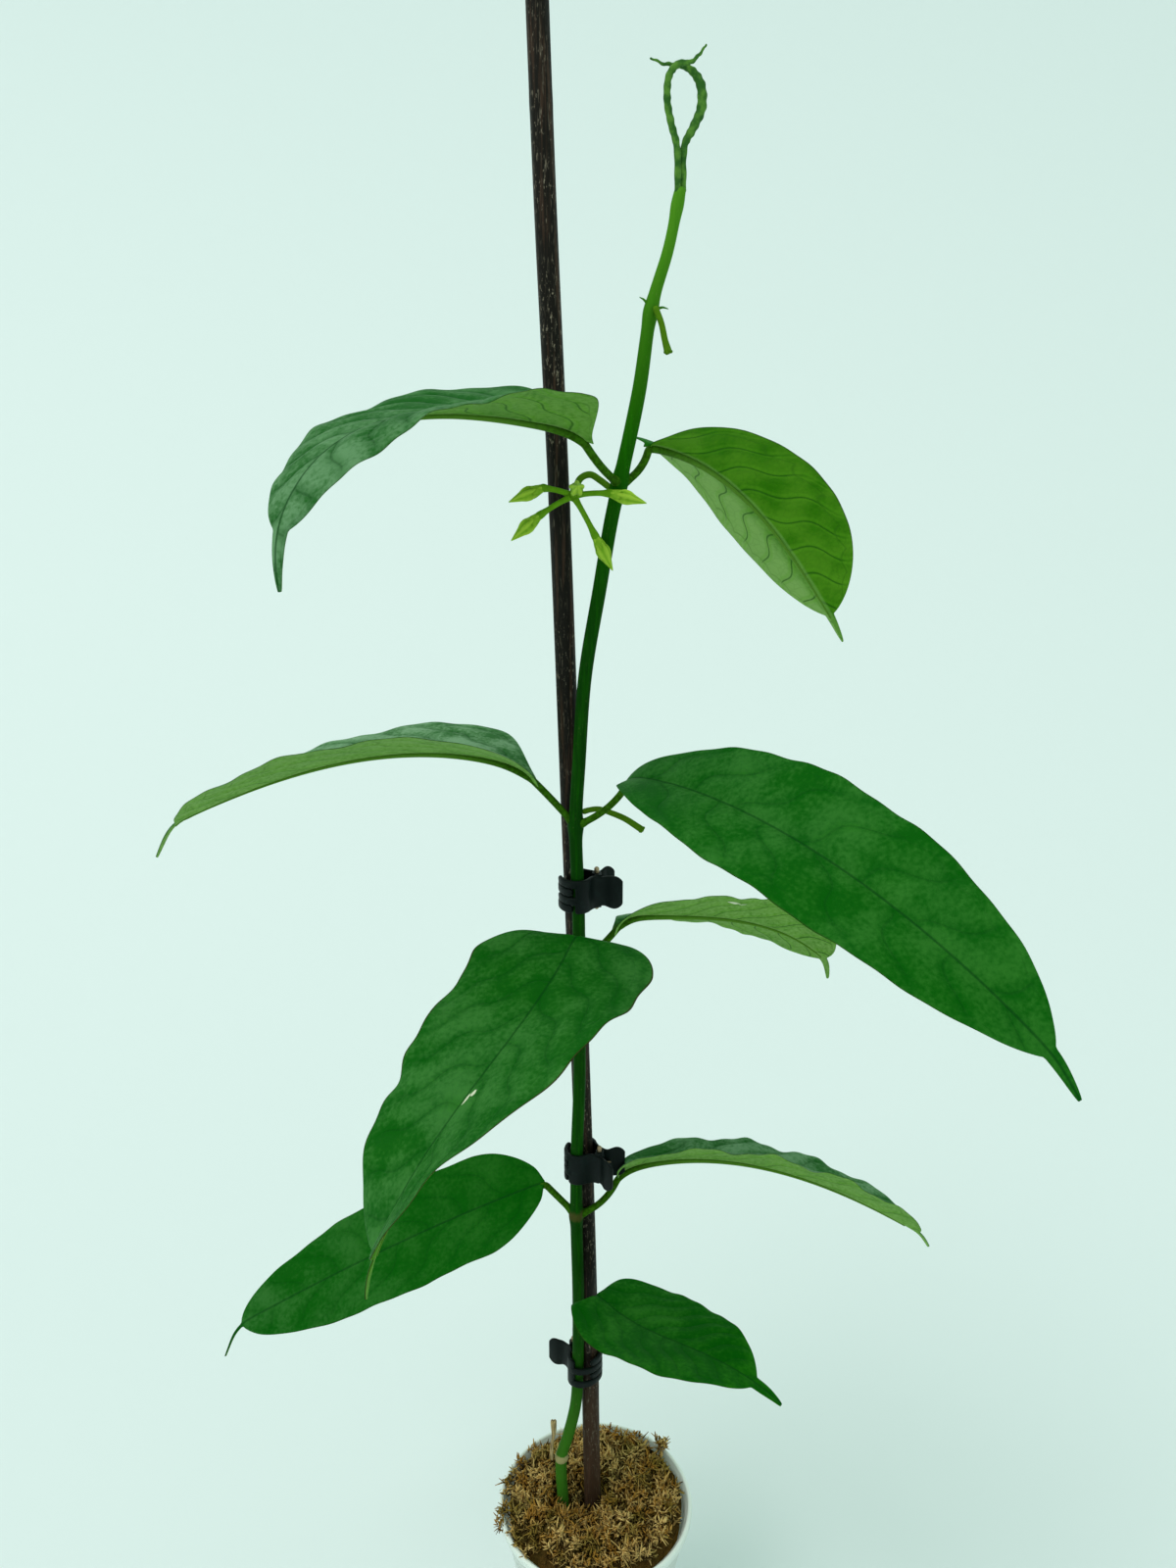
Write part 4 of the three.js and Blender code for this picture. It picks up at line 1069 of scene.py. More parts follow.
def make_cane(looks):
    """A tube with shallow long grooves: r (1 + 0.012 sin 5a + 0.008 sin 9a), and cut flat ends."""
    points = smooth_path(CANE_POINTS, 420)
    sides = 40
    angle = angles(sides)
    along = np.linspace(0, 1, len(points))[:, None]
    grooves = 0.012 * np.sin(5 * angle + 9 * along) + 0.008 * np.sin(9 * angle - 14 * along)
    knots = sum(0.02 * bell(along - place, 0.004) for place in (0.22, 0.47, 0.71, 0.9))
    side, other = axes_along(points, (0, 1, 0))
    radius = CANE_RADIUS * (1 + grooves + knots)
    edge = np.minimum(np.arange(len(points)), np.arange(len(points))[::-1])[:, None]
    radius = radius * np.where(edge == 0, 0.9, 1.0)
    outline = circle(sides) * radius[..., None]
    shell = sweep(points, side, other, outline)
    make_piece("cane_fine", [shell], cane_material(looks), ["cane"])


def stem_radius(z):
    """A slight taper, thinner past the top node, with a soft swelling at each node."""
    taper = eased(z, STEM["taper_from"], STEM["taper_to"])
    lower = lerp(STEM["root_radius"], STEM["mid_radius"], z / STEM["taper_to"])
    plain = lerp(lower, STEM["tip_radius"], taper)
    swell = sum(
        STEM["swell"] * bell(z - height, STEM["swell_length"] * (1.0 if height > 100 else 0.45))
        for height in NODE_HEIGHTS
    )
    return plain + swell * (1 - STEM["swell_loss"] * taper)


def stem_material(looks):
    """Green bark, paler at the tip and the foot, darker lower down as older stem and painted shade,
    with faint long streaks and a dry ring low down.
    """
    shader = Shader("stem_bark", specular_ior_level=0.015)
    height = shader.height()
    streak = shader.noise(0.9, detail=3, stretch=(1, 1, 16))
    speck = shader.ramp(shader.noise(0.5, detail=2, stretch=(1, 1, 1.6), shift=4.0), 0.66, 0.76)
    # Partly painted shade: below 400 mm the stem takes the darker colour, for its age and for shade.
    young = shader.ramp(height, 400, 500)
    green = shader.mix(young, looks.old_and_shaded, looks.young)
    green = shader.mix(shader.ramp(height, 470, 545), green, looks.tip)
    green = shader.mix((1 - shader.ramp(height, 96, 160)) * 0.7, green, looks.foot)
    streaked = shader.ramp(streak, 0.42, 0.75) * 0.22
    green = shader.mix(streaked, green, scaled(looks.young, 1.8))
    green = shader.mix(speck * 0.25, green, looks.speck)
    ring = 1 - shader.ramp(shader.absolute(height - 97.2 + (streak - 0.5) * 1.2), 1.2, 1.9)
    scar = 1 - shader.ramp(shader.absolute(height - 209.5 + (streak - 0.5) * 3.0), 0.6, 2.6)
    green = shader.mix(scar * 0.55, green, looks.scar)
    shader.colour(shader.mix(ring, green, looks.ring))
    shader.roughness(0.36 + streak * 0.15 + ring * 0.3)
    shader.bump(streak + ring * speck, 0.12)
    return shader.material


def make_stem(looks):
    """The stem's tube, and two small curled bracts at its top node."""
    points = smooth_path(STEM_POINTS, 620)
    shell = tube(points, stem_radius(points[:, 2]), 28, (0, 1, 0))
    shells = [shell]
    for start, end in BRACTS:
        path = smooth_path([start, lerp(np.array(start), np.array(end), 0.6) + [0, 0, 0.5], end], 14)
        radii = lerp(1.15, 0.3, np.linspace(0, 1, 14) ** 0.8)
        shells.append(tube(path, radii, 12, (0, 1, 0.1), flatten=0.5))
    make_piece("stem_fine", shells, stem_material(looks), ["stem"])


def dry_material(looks):
    """Dried stalk, split along its length."""
    shader = Shader("dry_stalk", roughness=0.85, specular_ior_level=0.2)
    split = shader.noise(0.5, detail=3, stretch=(1, 1, 9))
    dark = scaled(looks.dry, 0.35)
    shader.colour(shader.mix(shader.ramp(split, 0.35, 0.65), dark, looks.dry))
    shader.bump(split, 0.25)
    return shader.material


def make_dry_stub(looks):
    """A thin dried leaf stalk, a little flattened, split in two at its top."""
    shells = []
    for lean in (-0.45, 0.45):
        path = smooth_path(DRY_STUB, 40)
        t = np.linspace(0, 1, 40)[:, None]
        wiggle = np.array([0.12 * np.sign(lean), 0, 0]) * np.sin(9 * t)
        path = path + np.array([lean, 0.1, 0]) * t**2 + wiggle
        shells.append(tube(path, lerp(0.75, 0.95, t[:, 0]), 14, (0, 1, 0), flatten=0.7))
    make_piece("dry_stub_fine", shells, dry_material(looks), ["dry_stub"])


# Leaves

def half_width(leaf, u):
    """Half the blade's width at u, in millimetres.

    Up to the widest place um it is W (1 - |1 - u / um|^full)^(1 / full), with its start narrowed by
    1 - exp(-(u / neck)^2). After it, W (1 - t^tip)^blunt closes at the drip tip's root. The drip tip
    adds its own width, r sqrt(t) from the leaf's end, by the power mean of 1.5.
    """
    share, root = leaf.drip
    before = np.maximum(1 - np.abs(1 - np.minimum(u, leaf.widest) / leaf.widest) ** leaf.fullness, 0)
    t = np.clip((u - leaf.widest) / (1 - share - leaf.widest), 0, 1)
    after = (1 - t**leaf.tip) ** leaf.blunt
    main = leaf.half_width * np.where(u < leaf.widest, before ** (1 / leaf.fullness), after)
    main = main * (1 - bell(u, leaf.neck))
    drip = root * np.sqrt(np.clip((1 - u) / share, 0, 1))
    return (main**1.5 + drip**1.5) ** (1 / 1.5)


def slopes(leaf, u):
    """Pitch and heading along the midrib.

    They are the blade's own, and the stalk's, which fade by exp(-u / bend) and its square. The drip
    tip's pitch falls by droop.
    """
    fade = np.exp(-u / leaf.bend)
    turn = (leaf.stalk_heading[1] - leaf.heading[0] + 180) % 360 - 180
    pitch = through_three(leaf.pitch, u) + (leaf.stalk_pitch[1] - leaf.pitch[0]) * fade
    hang = leaf.droop * eased(u, 1 - 1.4 * leaf.drip[0], 1 - 0.4 * leaf.drip[0])
    return pitch - hang, lerp(*leaf.heading, u) + turn * fade**2


def leaf_lines(leaf):
    """Points of the stalk from the stem's centre, and of the midrib, both in even steps.

    The stalk's pitch and heading change evenly along it. The midrib adds up its slopes, and the
    stalk leans, by the square of the way along it, so that past its bend the midrib stays where a
    midrib without a bend would be.
    """
    t = (np.arange(STALK_STEPS) + 0.5) / STALK_STEPS
    moves = direction(lerp(*leaf.stalk_pitch, t), lerp(*leaf.stalk_heading, t))
    moves = moves * leaf.stalk / STALK_STEPS
    stalk = at_height(STEM_PATH, leaf.node) + np.vstack([np.zeros(3), np.cumsum(moves, axis=0)])
    u = (np.arange(BLADE_STEPS) + 0.5) / BLADE_STEPS
    bent = direction(*slopes(leaf, u)) * leaf.length / BLADE_STEPS
    plain = direction(through_three(leaf.pitch, u), lerp(*leaf.heading, u)) * leaf.length / BLADE_STEPS
    near = (u < 0.5)[:, None]
    stalk -= ((bent - plain) * near).sum(axis=0) * np.linspace(0, 1, len(stalk))[:, None] ** 2
    return stalk, stalk[-1] + np.vstack([np.zeros(3), np.cumsum(bent, axis=0)])


def midrib(leaf, line, u):
    """Place, tangent, across and up at each u."""
    knots = np.linspace(0, 1, BLADE_STEPS + 1)
    place = np.stack([np.interp(u, knots, line[:, axis]) for axis in range(3)], -1)
    pitch, heading = slopes(leaf, u)
    tangent = direction(pitch, heading)
    side = direction(np.zeros_like(u), heading + 90)
    normal = np.cross(tangent, side)
    roll = (lerp(*leaf.roll, u) * DEG)[:, None]
    across = side * np.cos(roll) + normal * np.sin(roll)
    up = normal * np.cos(roll) - side * np.sin(roll)
    return place, tangent, across, up


def vein_pattern(maths, leaf, along, across, reach):
    """Side veins that leave the midrib aslant, curve to the tip and join in loops by the margin.

    along is u, across is v and reach is the distance from the midrib in millimetres. A vein runs
    where the phase (x - 0.75 y - 0.55 y^2 / W) / gap is whole, and a loop runs where |v| is
    0.87 - 0.11 |cos(pi phase)|. Returns the vein's strength and the distance to it.
    """
    gap = leaf.length / 8.2
    far = maths.absolute(across)
    left = maths.greater(across, 0.0)
    shift = reach * 0.75 + reach * reach * (0.55 / leaf.half_width)
    drift = maths.sine(reach * 0.33 + along * 17 + left * 2.3 + leaf.phase * 6) * 0.13
    phase = (along * leaf.length - shift) / gap + left * 0.46 + drift + leaf.phase
    distance = maths.absolute(maths.fract(phase + 0.5) - 0.5) * (gap * 0.74)
    side_vein = (1 - maths.ramp(distance, 0.0, 0.6)) * (1 - maths.ramp(far, 0.70, 0.90))
    bow = 0.87 - maths.absolute(maths.cosine(phase * math.pi)) * 0.11
    to_loop = maths.absolute(far - bow) * (leaf.half_width * 0.85)
    loop = (1 - maths.ramp(to_loop, 0.0, 0.55)) * 0.45
    return maths.larger(side_vein, loop), distance


def blade_shell(leaf, line, looks):
    """The blade, a thin closed sheet on a grid of u along and v across.

    Its middle is M(u) + v w cos(fold) S + |v| w sin(fold) N, waved near the margins and drawn back
    at the base. Between the veins it bulges, on its upper side the veins are sunk, and its
    thickness falls to nothing at the margin by sqrt(1 - |v|^8).
    """
    rows, half = 168, 34
    s = np.linspace(0, 1, rows)
    u = lerp(0.004, 0.996, 0.45 * s + 0.275 * (1 - np.cos(math.pi * s)))
    place, tangent, across, up = (part[:, None] for part in midrib(leaf, line, u))
    spacing = np.sin(np.linspace(-1, 1, 2 * half + 1) * 1.2) / math.sin(1.2)
    v = np.concatenate([spacing[::-1], spacing[1:-1]])
    face = np.concatenate([np.ones(len(spacing)), -np.ones(len(spacing) - 2)])
    u_grid, v_grid = u[:, None], v[None]
    far = np.abs(v_grid)
    width = half_width(leaf, u_grid)
    reach = far * width
    fold = lerp(*leaf.fold, u_grid) * DEG
    turn = 2 * math.pi * leaf.waves * u_grid + np.where(v_grid > 0, 1.3, 0)
    inside = np.sin(math.pi * u_grid)
    wave = leaf.wave * np.sin(turn) * far**3 * inside
    wave += 0.32 * leaf.wave * np.sin(2.7 * turn + 2 * leaf.phase) * far**5 * inside
    vein, distance = vein_pattern(Arrays, leaf, u_grid, v_grid, reach)
    pillow = (1 - bell(distance, 2.6)) * (1 - bell(reach, 2.4)) * (1 - far**6) * inside**0.5
    strength = 0.4 + 1.2 * leaf.veins
    lift = looks.quilting / MM * strength * pillow
    groove = 1.5 * bell(reach, 0.75) * (1 - u_grid)
    sunk = looks.vein_depth / MM * (strength * vein * (1 - bell(reach, 0.5)) + groove)
    rim = np.sqrt(np.maximum(1 - far**8, 0))
    body = looks.thickness / MM / 2 * rim
    offset = wave + lift + np.where(face > 0, body - sunk * rim, -body - 0.4 * sunk * rim)
    bumps = np.sin(1.9 * turn + 5 * leaf.phase) + 0.6 * np.sin(3.3 * turn)
    flat = v_grid * width * np.cos(fold) * (1 + leaf.scallop * bumps * far**4 * inside)
    rise = reach * np.sin(fold)
    lobe = leaf.lobe * np.exp(-u_grid / 0.06) * far**1.5
    points = (
        place
        + flat[..., None] * across
        + (rise + offset)[..., None] * up
        - lobe[..., None] * tangent
    )
    ones = np.ones_like(flat)
    return Shell(points, {
        "along": u_grid * ones, "across": v_grid * ones, "reach": reach, "face": face[None] * ones,
    })


def stalk_shell(leaf, stalk, line):
    """The stalk, flared where it leaves the stem, running on as the raised midrib underneath."""
    u = np.linspace(0.01, MIDRIB_END, 70)
    place, _, across, up = midrib(leaf, line, u)
    radius = lerp(STALK_RADIUS, MIDRIB_RADIUS, (u / MIDRIB_END) ** 0.7)
    under = place - up * (0.2 + 0.8 * radius)[:, None]
    points = np.vstack([stalk, under])
    weights = bell(np.arange(-6, 7), 3.0)
    weights = weights / weights.sum()
    padded = np.pad(points, ((6, 6), (0, 0)), mode="edge")
    smooth = np.stack([np.convolve(padded[:, k], weights, "valid") for k in range(3)], -1)
    smooth[:3], smooth[-3:] = points[:3], points[-3:]
    headings = lerp(*leaf.stalk_heading, np.linspace(0, 1, len(stalk)))
    first = direction(np.zeros(len(stalk)), headings + 90)
    side_wish = np.vstack([first, across])
    swell = 1 + 0.35 * bell(np.linspace(0, leaf.stalk, len(stalk)) - STEM["mid_radius"], 1.6)
    radii = np.concatenate([STALK_RADIUS * swell, radius])
    sides = 20
    side, other = axes_along(smooth, side_wish)
    groove = 1 - 0.16 * bell(angles(sides) - math.pi / 2, 0.45)
    outline = circle(sides) * (groove * radii[:, None])[..., None]
    paler = np.concatenate([np.zeros(len(stalk)), eased(u, 0.0, 0.25)])
    return sweep(smooth, side, other, outline, pale=paler[:, None])


def leaf_material(name, leaf, looks):
    """Upper side deep green, mottled yellower between faint dark veins, under a painted sheen.

    Underside paler and sage, lightened as painted light through the blade, with a painted sheen and
    painted highlights beside its veins.
    """
    shader = Shader(f"{name}_blade", specular_ior_level=0.014)
    along, across = shader.attribute("along"), shader.attribute("across")
    reach, face = shader.attribute("reach"), shader.attribute("face")
    vein, distance = vein_pattern(shader, leaf, along, across, reach)
    upper = shader.greater(face, 0.0)
    main_vein = 1 - shader.ramp(reach, 0.15, 0.55)
    near_vein = 1 - shader.ramp(distance, 0.2, 3.2)
    patch = shader.noise(12, detail=3, shift=leaf.phase * 9)
    broad = shader.noise(26, detail=1, shift=leaf.phase * 5 + 2)
    fine = shader.noise(1.3, detail=3)
    grain = shader.noise(0.45, detail=2)
    net = 1 - shader.ramp(shader.cells(3.4), 0.0, 0.10)
    tone = patch * 0.55 + broad * 0.25 + fine * 0.45 - near_vein * (0.30 * leaf.veins)
    top = shader.mix(shader.ramp(tone, 0.46, 0.84), looks.upper_dark, looks.upper_light)
    # Each leaf's upper side is darkened towards the deepest green by its shade value.
    top = shader.mix(leaf.shade * 0.8, top, looks.upper_deep)
    # Painted sheen: a patchy pale reflection painted on the upper side, from base to tip, weaker by the
    # veins.
    cloudy = shader.ramp(patch * 0.4 + broad * 0.3 + fine * 0.3, 0.40, 0.62) * 1.3 + 0.2
    painted_sheen = (along * (leaf.sheen[1] - leaf.sheen[0]) + leaf.sheen[0]) * cloudy * (1 - near_vein * 0.4)
    top = shader.mix(painted_sheen, top, looks.sheen)
    lines = shader.larger(vein * (0.75 * leaf.veins), main_vein * (0.45 + 0.5 * leaf.veins))
    top = shader.mix(lines, top, looks.upper_vein)
    under = shader.mix(shader.ramp(patch + fine * 0.3, 0.4, 0.85), looks.under_dark, looks.under_light)
    # Painted sheen on the underside, over one half or patchy over both.
    side, strength = leaf.under_sheen
    patchy = fine * 0.2 if side else fine * 0.45 + 0.1
    under_sheen_mask = shader.ramp(across * side + patchy, 0.05, 0.5) * strength
    under = shader.mix(under_sheen_mask, under, looks.under_sheen)
    # Painted highlight: a lighter band along both flanks of each raised vein on the underside.
    band = (1 - shader.ramp(shader.absolute(distance - 1.2), 0.2, 1.0)) * 0.3
    under = shader.mix(band, under, scaled(looks.under_light, 1.3))
    under = shader.mix(shader.larger(vein * (0.25 + leaf.veins), net * 0.12), under, looks.under_vein)
    # A pale strip along the midrib, in the same pale colour.
    under = shader.mix((1 - shader.ramp(reach, 0.9, 1.6)) * 0.35, under, looks.under_sheen)
    skin = shader.mix(upper, under, top)
    margin = shader.ramp(shader.absolute(across), 0.975, 0.995)
    skin = shader.mix(margin * (0.35 + 0.55 * leaf.edge), skin, looks.edge)
    for place, size in leaf.scars:
        off_u = (along - place[0]) * (leaf.length / size[0])
        off_v = (across - place[1]) * (leaf.half_width / size[1])
        spot = 1 - shader.ramp(off_u * off_u + off_v * off_v + fine * 1.4, 1.1, 1.5)
        skin = shader.mix(spot, skin, looks.scar)
    shader.colour(skin)
    shader.roughness(0.42 + fine * 0.12 + (1 - upper) * 0.12)
    ridge = (upper * -1.4 + 0.7) * vein * (0.3 + leaf.veins)
    relief = ridge + fine * 0.35 + grain * 0.3 + (1 - upper) * net * 0.2
    shader.bump(relief, 0.20)
    return shader.material


def stalk_material(looks):
    """Green leaf stalk with faint streaks, turning to the midrib's colour under the blade."""
    shader = Shader("leaf_stalk", specular_ior_level=0.015)
    streak = shader.noise(1.1, detail=3)
    dark = scaled(looks.stalk, 0.55)
    green = shader.mix(shader.ramp(streak, 0.35, 0.65), dark, looks.stalk)
    shader.colour(shader.mix(shader.attribute("pale") * 0.75, green, looks.midrib))
    shader.roughness(0.38 + streak * 0.15)
    shader.bump(streak, 0.12)
    return shader.material


def make_leaves(looks, stem_looks):
    """A blade and a stalk for each leaf."""
    stalk_skin = stalk_material(stem_looks)
    for name, leaf in LEAVES.items():
        stalk, line = leaf_lines(leaf)
        blade = blade_shell(leaf, line, looks)
        make_piece(f"{name}_blade", [blade], leaf_material(name, leaf, looks), [name])
        make_piece(f"{name}_stalk", [stalk_shell(leaf, stalk, line)], stalk_skin, [name])


def young_material(looks):
    """Soft young leaf, olive green mottled with darker patches."""
    shader = Shader("young_leaf", roughness=0.5, specular_ior_level=0.15)
    mottle = shader.noise(2.2, detail=3)
    shader.colour(shader.mix(shader.ramp(mottle, 0.35, 0.68), looks.new_shade, looks.new_leaf))
    shader.bump(mottle, 0.3)
    return shader.material


def make_young_leaves(looks):
    """Rolled young leaves: flattened tubes with a rippled edge, thin and kinked at their tips."""
    skin = young_material(looks)
    for name, (points, radii) in YOUNG_LEAVES.items():
        rows, sides = 150, 18
        path = smooth_path(points, rows)
        t = np.linspace(0, 1, rows)
        radius = np.interp(t, np.linspace(0, 1, len(radii)), radii)
        kink = 0.14 * eased(t, 0.68, 0.8) * np.sin(t * 62)
        path = path + np.stack([0 * t, 0 * t, kink], -1)
        path, radius = round_ends(path, radius)
        side, other = axes_along(path, (0, 1, 0))
        angle = angles(sides)
        ripple = 1 + 0.09 * np.sin(np.arange(len(path)) * 0.75)[:, None] * np.abs(np.sin(angle)) ** 3
        furrow = 1 - 0.28 * bell(angle - math.pi / 2, 0.4)
        outline = circle(sides) * np.array([0.8, 1.08]) * (radius[:, None] * ripple * furrow)[..., None]
        make_piece(f"{name}_fine", [sweep(path, side, other, outline)], skin, [name])


# Flowers

def flower_material(name, light, dark):
    """Waxy young flower tissue, with painted highlights on its ridges and painted shade in its furrows.
    """
    shader = Shader(name, specular_ior_level=0.02)
    mottle = shader.noise(1.8, detail=3)
    crest = shader.attribute("crest")
    tone = shader.ramp(crest * 0.6 + mottle * 0.6, 0.25, 0.85)
    shader.colour(shader.mix(tone, dark, light))
    shader.roughness(0.38 + mottle * 0.15)
    shader.bump(mottle, 0.12)
    return shader.material


def stalk_end_nubs(path, radius):
    """Small scars of fallen flowers, as nubs round a bare stalk's end."""
    ahead = unit(path[-1] - path[-3])
    side, other = axes_along(path[-3:], (0, 1, 0.2))
    nubs = []
    for turn in range(6):
        angle = turn * math.pi / 3 + 0.4
        out = side[-1] * math.cos(angle) + other[-1] * math.sin(angle)
        centre = path[-1] + out * radius * 0.72 + ahead * (0.25 + 0.35 * (turn % 2))
        nubs.append(ball(centre, (0.52, 0.52, 0.5), sides=10, rows=7))
    nubs.append(ball(path[-1] + ahead * 0.55, (0.6, 0.6, 0.6), sides=10, rows=7))
    return nubs


def make_bare_stalks(looks):
    """Two bare flower stalks, each with a knobbly end."""
    skin = flower_material("bare_flower_stalk", looks.stalk, scaled(looks.stalk, 0.55))
    for name, (points, radii) in BARE_STALKS.items():
        path = smooth_path(points, 60)
        radius = np.interp(np.linspace(0, 1, 60), np.linspace(0, 1, len(radii)), radii)
        shells = [tube(path, radius, 16, (0, 1, 0.2)), *stalk_end_nubs(path, radius[-1])]
        make_piece(f"{name}_fine", shells, skin, [name])


def make_umbel(looks):
    """The curved flower stalk, its heart and five bud stalks that flare at both ends."""
    path = smooth_path(FLOWER_STALK, 50)
    shells = [tube(path, np.full(50, 1.0), 18, (0.2, 1, 0.1)), ball(UMBEL, (1.9, 1.8, 1.7), 18, 12)]
    for end, _ in BUD_ENDS:
        t = np.linspace(0, 1, 26)
        straight = lerp(np.array(UMBEL, float), np.array(end, float), t[:, None])
        sag = np.array([0, 0, 0.35]) * np.sin(math.pi * t)[:, None]
        radius = 0.82 + 0.35 * bell(t, 0.18) + 0.42 * bell(t - 1, 0.16)
        across = (0, 0, 1) if abs(unit(straight[-1] - straight[0])[2]) < 0.8 else (0, 1, 0)
        shells.append(tube(straight + sag, radius, 16, across, crest=0.647))
    skin = flower_material("flower_stalk", looks.stalk, scaled(looks.stalk, 0.6))
    make_piece("flower_stalk_fine", shells, skin, ["flower_stalk"])


def bud_shells(end, tip, looks):
    """A pointed bud with five ridges, and a calyx whose rim rises in five lobes.

    The bud's radius is a smooth curve through its profile, times 1 + ridge cos 5a. The calyx is a
    thin cup round its base, whose rim stands higher where cos 5a is low.
    """
    base, tip = np.array(end, float), np.array(tip, float)
    axis = unit(tip - base)
    reference = (0, 0, 1) if abs(axis[2]) < 0.8 else (0, 1, 0)
    rows, sides = 48, 60
    angle = angles(sides)
    five = np.cos(5 * angle)
    t = np.linspace(0.02, 1, rows)
    profile = smooth_path([(x, y, 0) for x, y in BUD_PROFILE], 200)
    radius = np.interp(t, profile[:, 0], profile[:, 1])
    strength = looks.ridge * (0.35 + 0.9 * bell(t - 0.45, 0.28))
    points = base + axis * (t * BUD_LENGTH)[:, None]
    side, other = axes_along(points, reference)
    outline = circle(sides) * (radius[:, None] * (1 + strength[:, None] * five))[..., None]
    # Painted light: highlights on the five ridges and towards the tip, shade in the furrows and at the
    # base.
    crest = 0.35 + 0.35 * five[None] + 0.4 * t[:, None]
    bud = sweep(points, side, other, outline, crest=crest)
    height, reach, lobe = np.array(CALYX_PROFILE).T[..., None]
    rise = height + lobe * (0.55 + 0.75 * -five[None])
    spread = reach * (1 + 0.08 * lobe * -five[None])
    rings = base + rise[..., None] * axis + spread[..., None] * (
        np.cos(angle)[None, :, None] * side[0] + np.sin(angle)[None, :, None] * other[0]
    )
    return [bud, Shell(rings, {"crest": 0.3})]


def make_buds(looks):
    """Five buds, each with its calyx."""
    skin = flower_material("bud_skin", looks.bud, looks.bud_shade)
    for number, (end, tip) in enumerate(BUD_ENDS, 1):
        make_piece(f"bud_{number}_fine", bud_shells(end, tip, looks), skin, [f"bud_{number}"])


# Clips, each worked out round (0, 0) with the stem on -Y, the cane on +Y and the pin on +X

def clip_place(height, turned):
    """Centre and turn of a clip, midway over the stem and the cane, along the line between them."""
    cane, stem = at_height(CANE_PATH, height), at_height(STEM_PATH, height)
    to_cane = (cane - stem) * np.array([1, 1, 0])
    span = np.linalg.norm(to_cane)
    centre = stem + to_cane / span * (span + CANE_RADIUS - stem_radius(height)) / 2
    centre[2] = height
    angle = math.atan2(to_cane[1], to_cane[0]) - math.pi / 2 + (math.pi if turned else 0)
    return centre, angle


def jaw_line(side, past):
    """A jaw's middle line from its finger tip to its wing tip, smoothed and evenly spaced."""
    a, b = CLIP["ring_x"] + CLIP["wall"] / 2, CLIP["ring_y"] + CLIP["wall"] / 2
    angle = np.linspace(180 + past, CLIP["ring_leave"], 13) * DEG
    ring = np.stack([a * np.cos(angle), side * b * np.sin(angle)], -1)
    flare = CLIP["strip_y"] + CLIP["strip_flare"]
    strip = [
        (CLIP["strip_from"], side * flare),
        (PIN["x"], side * CLIP["strip_y"]),
        (CLIP["strip_to"], side * flare),
        (CLIP["wing_bend"][0], side * CLIP["wing_bend"][1]),
        (CLIP["wing_x"], side * CLIP["wing_y"]),
    ]
    controls = np.vstack([ring, strip])
    flat = np.concatenate([controls, np.zeros((len(controls), 1))], axis=1)
    line = smooth_path(flat, 400)
    walked = np.concatenate([[0], np.cumsum(np.linalg.norm(np.diff(line, axis=0), axis=1))])
    even = np.linspace(0, walked[-1], 150)
    return np.stack([np.interp(even, walked, line[:, k]) for k in range(3)], -1)


def plate_heights(x):
    """Half heights of the plate: waisted by the hinge, with the wing's corners as arcs."""
    half, corner = CLIP["height"] / 2, CLIP["wing_round"]
    past = np.clip(x - (CLIP["wing_x"] + 0.35 - corner), 0, corner * 0.995)
    return half - corner + np.sqrt(corner**2 - past**2) - 0.7 * bell(x - 8.6, 2.0)


def strip(line, half_heights, thickness, corner, lift=0.0):
    """Carries an upright rounded box along a level line."""
    along = tangents(line)
    side = np.stack([-along[:, 1], along[:, 0], 0 * along[:, 0]], -1)
    up = np.broadcast_to([0.0, 0.0, 1.0], side.shape)
    outline = rounded_box(thickness / 2, half_heights, corner)
    return sweep(line + np.array([0, 0, lift]), side, up, outline)


def knuckle_shells(front):
    """Barrels round the pin, the outer two on the front jaw, each with a web to the plate."""
    half, tall = CLIP["height"] / 2, KNUCKLE["height"]
    outer, bevel, bore = KNUCKLE["radius"], KNUCKLE["bevel"], PIN["radius"] + KNUCKLE["gap"]
    start = half - tall if front else half - 2 * tall - KNUCKLE["gap"]
    side = -1 if front else 1
    web_y = side * np.linspace(KNUCKLE["web_start"], CLIP["strip_y"], 6)
    web = np.stack([np.full(6, PIN["x"]), web_y, np.zeros(6)], -1)
    shells = []
    for low, high in ((start, start + tall), (-start - tall, -start)):
        profile = [(bore, low), (outer - bevel, low), (outer, low + bevel), (outer, high - bevel),
                   (outer - bevel, high), (bore, high), (bore, low)]
        barrel = lathe(profile, 24)
        barrel.rings[..., 0] += PIN["x"]
        half_web = np.full(6, tall / 2 - 0.05)
        shells.append(barrel)
        shells.append(strip(web, half_web, 2 * KNUCKLE["web"], 0.2, lift=(low + high) / 2))
    return shells


def jaw_shells(front, looks):
    """One jaw: the fingers that reach round the stems, the plate with its wing, and the knuckles."""
    corner = looks.corner / MM
    line = jaw_line(-1 if front else 1, CLIP["front_past" if front else "back_past"])
    joined = np.argmax(line[:, 0] > CLIP["slot_x"])
    band = CLIP["height"] / CLIP["bands"]
    shells = []
    for number in range(CLIP["bands"]):
        if (number % 2 == 1) != front:
            continue
        lift = -CLIP["height"] / 2 + band * (number + 0.5)
        finger = line[: joined + 6]
        taper = band / 2 - 0.07 - 0.45 * bell(np.arange(len(finger)), 3.0)
        shells.append(strip(finger, taper, CLIP["wall"] * 1.15, min(0.6, corner * 1.4), lift=lift))
    plate = line[joined:]
    heights = plate_heights(plate[:, 0]) - 0.5 * bell(np.arange(len(plate)), 2.0)
    shells.append(strip(plate, heights, CLIP["wall"], corner))
    return shells + knuckle_shells(front)


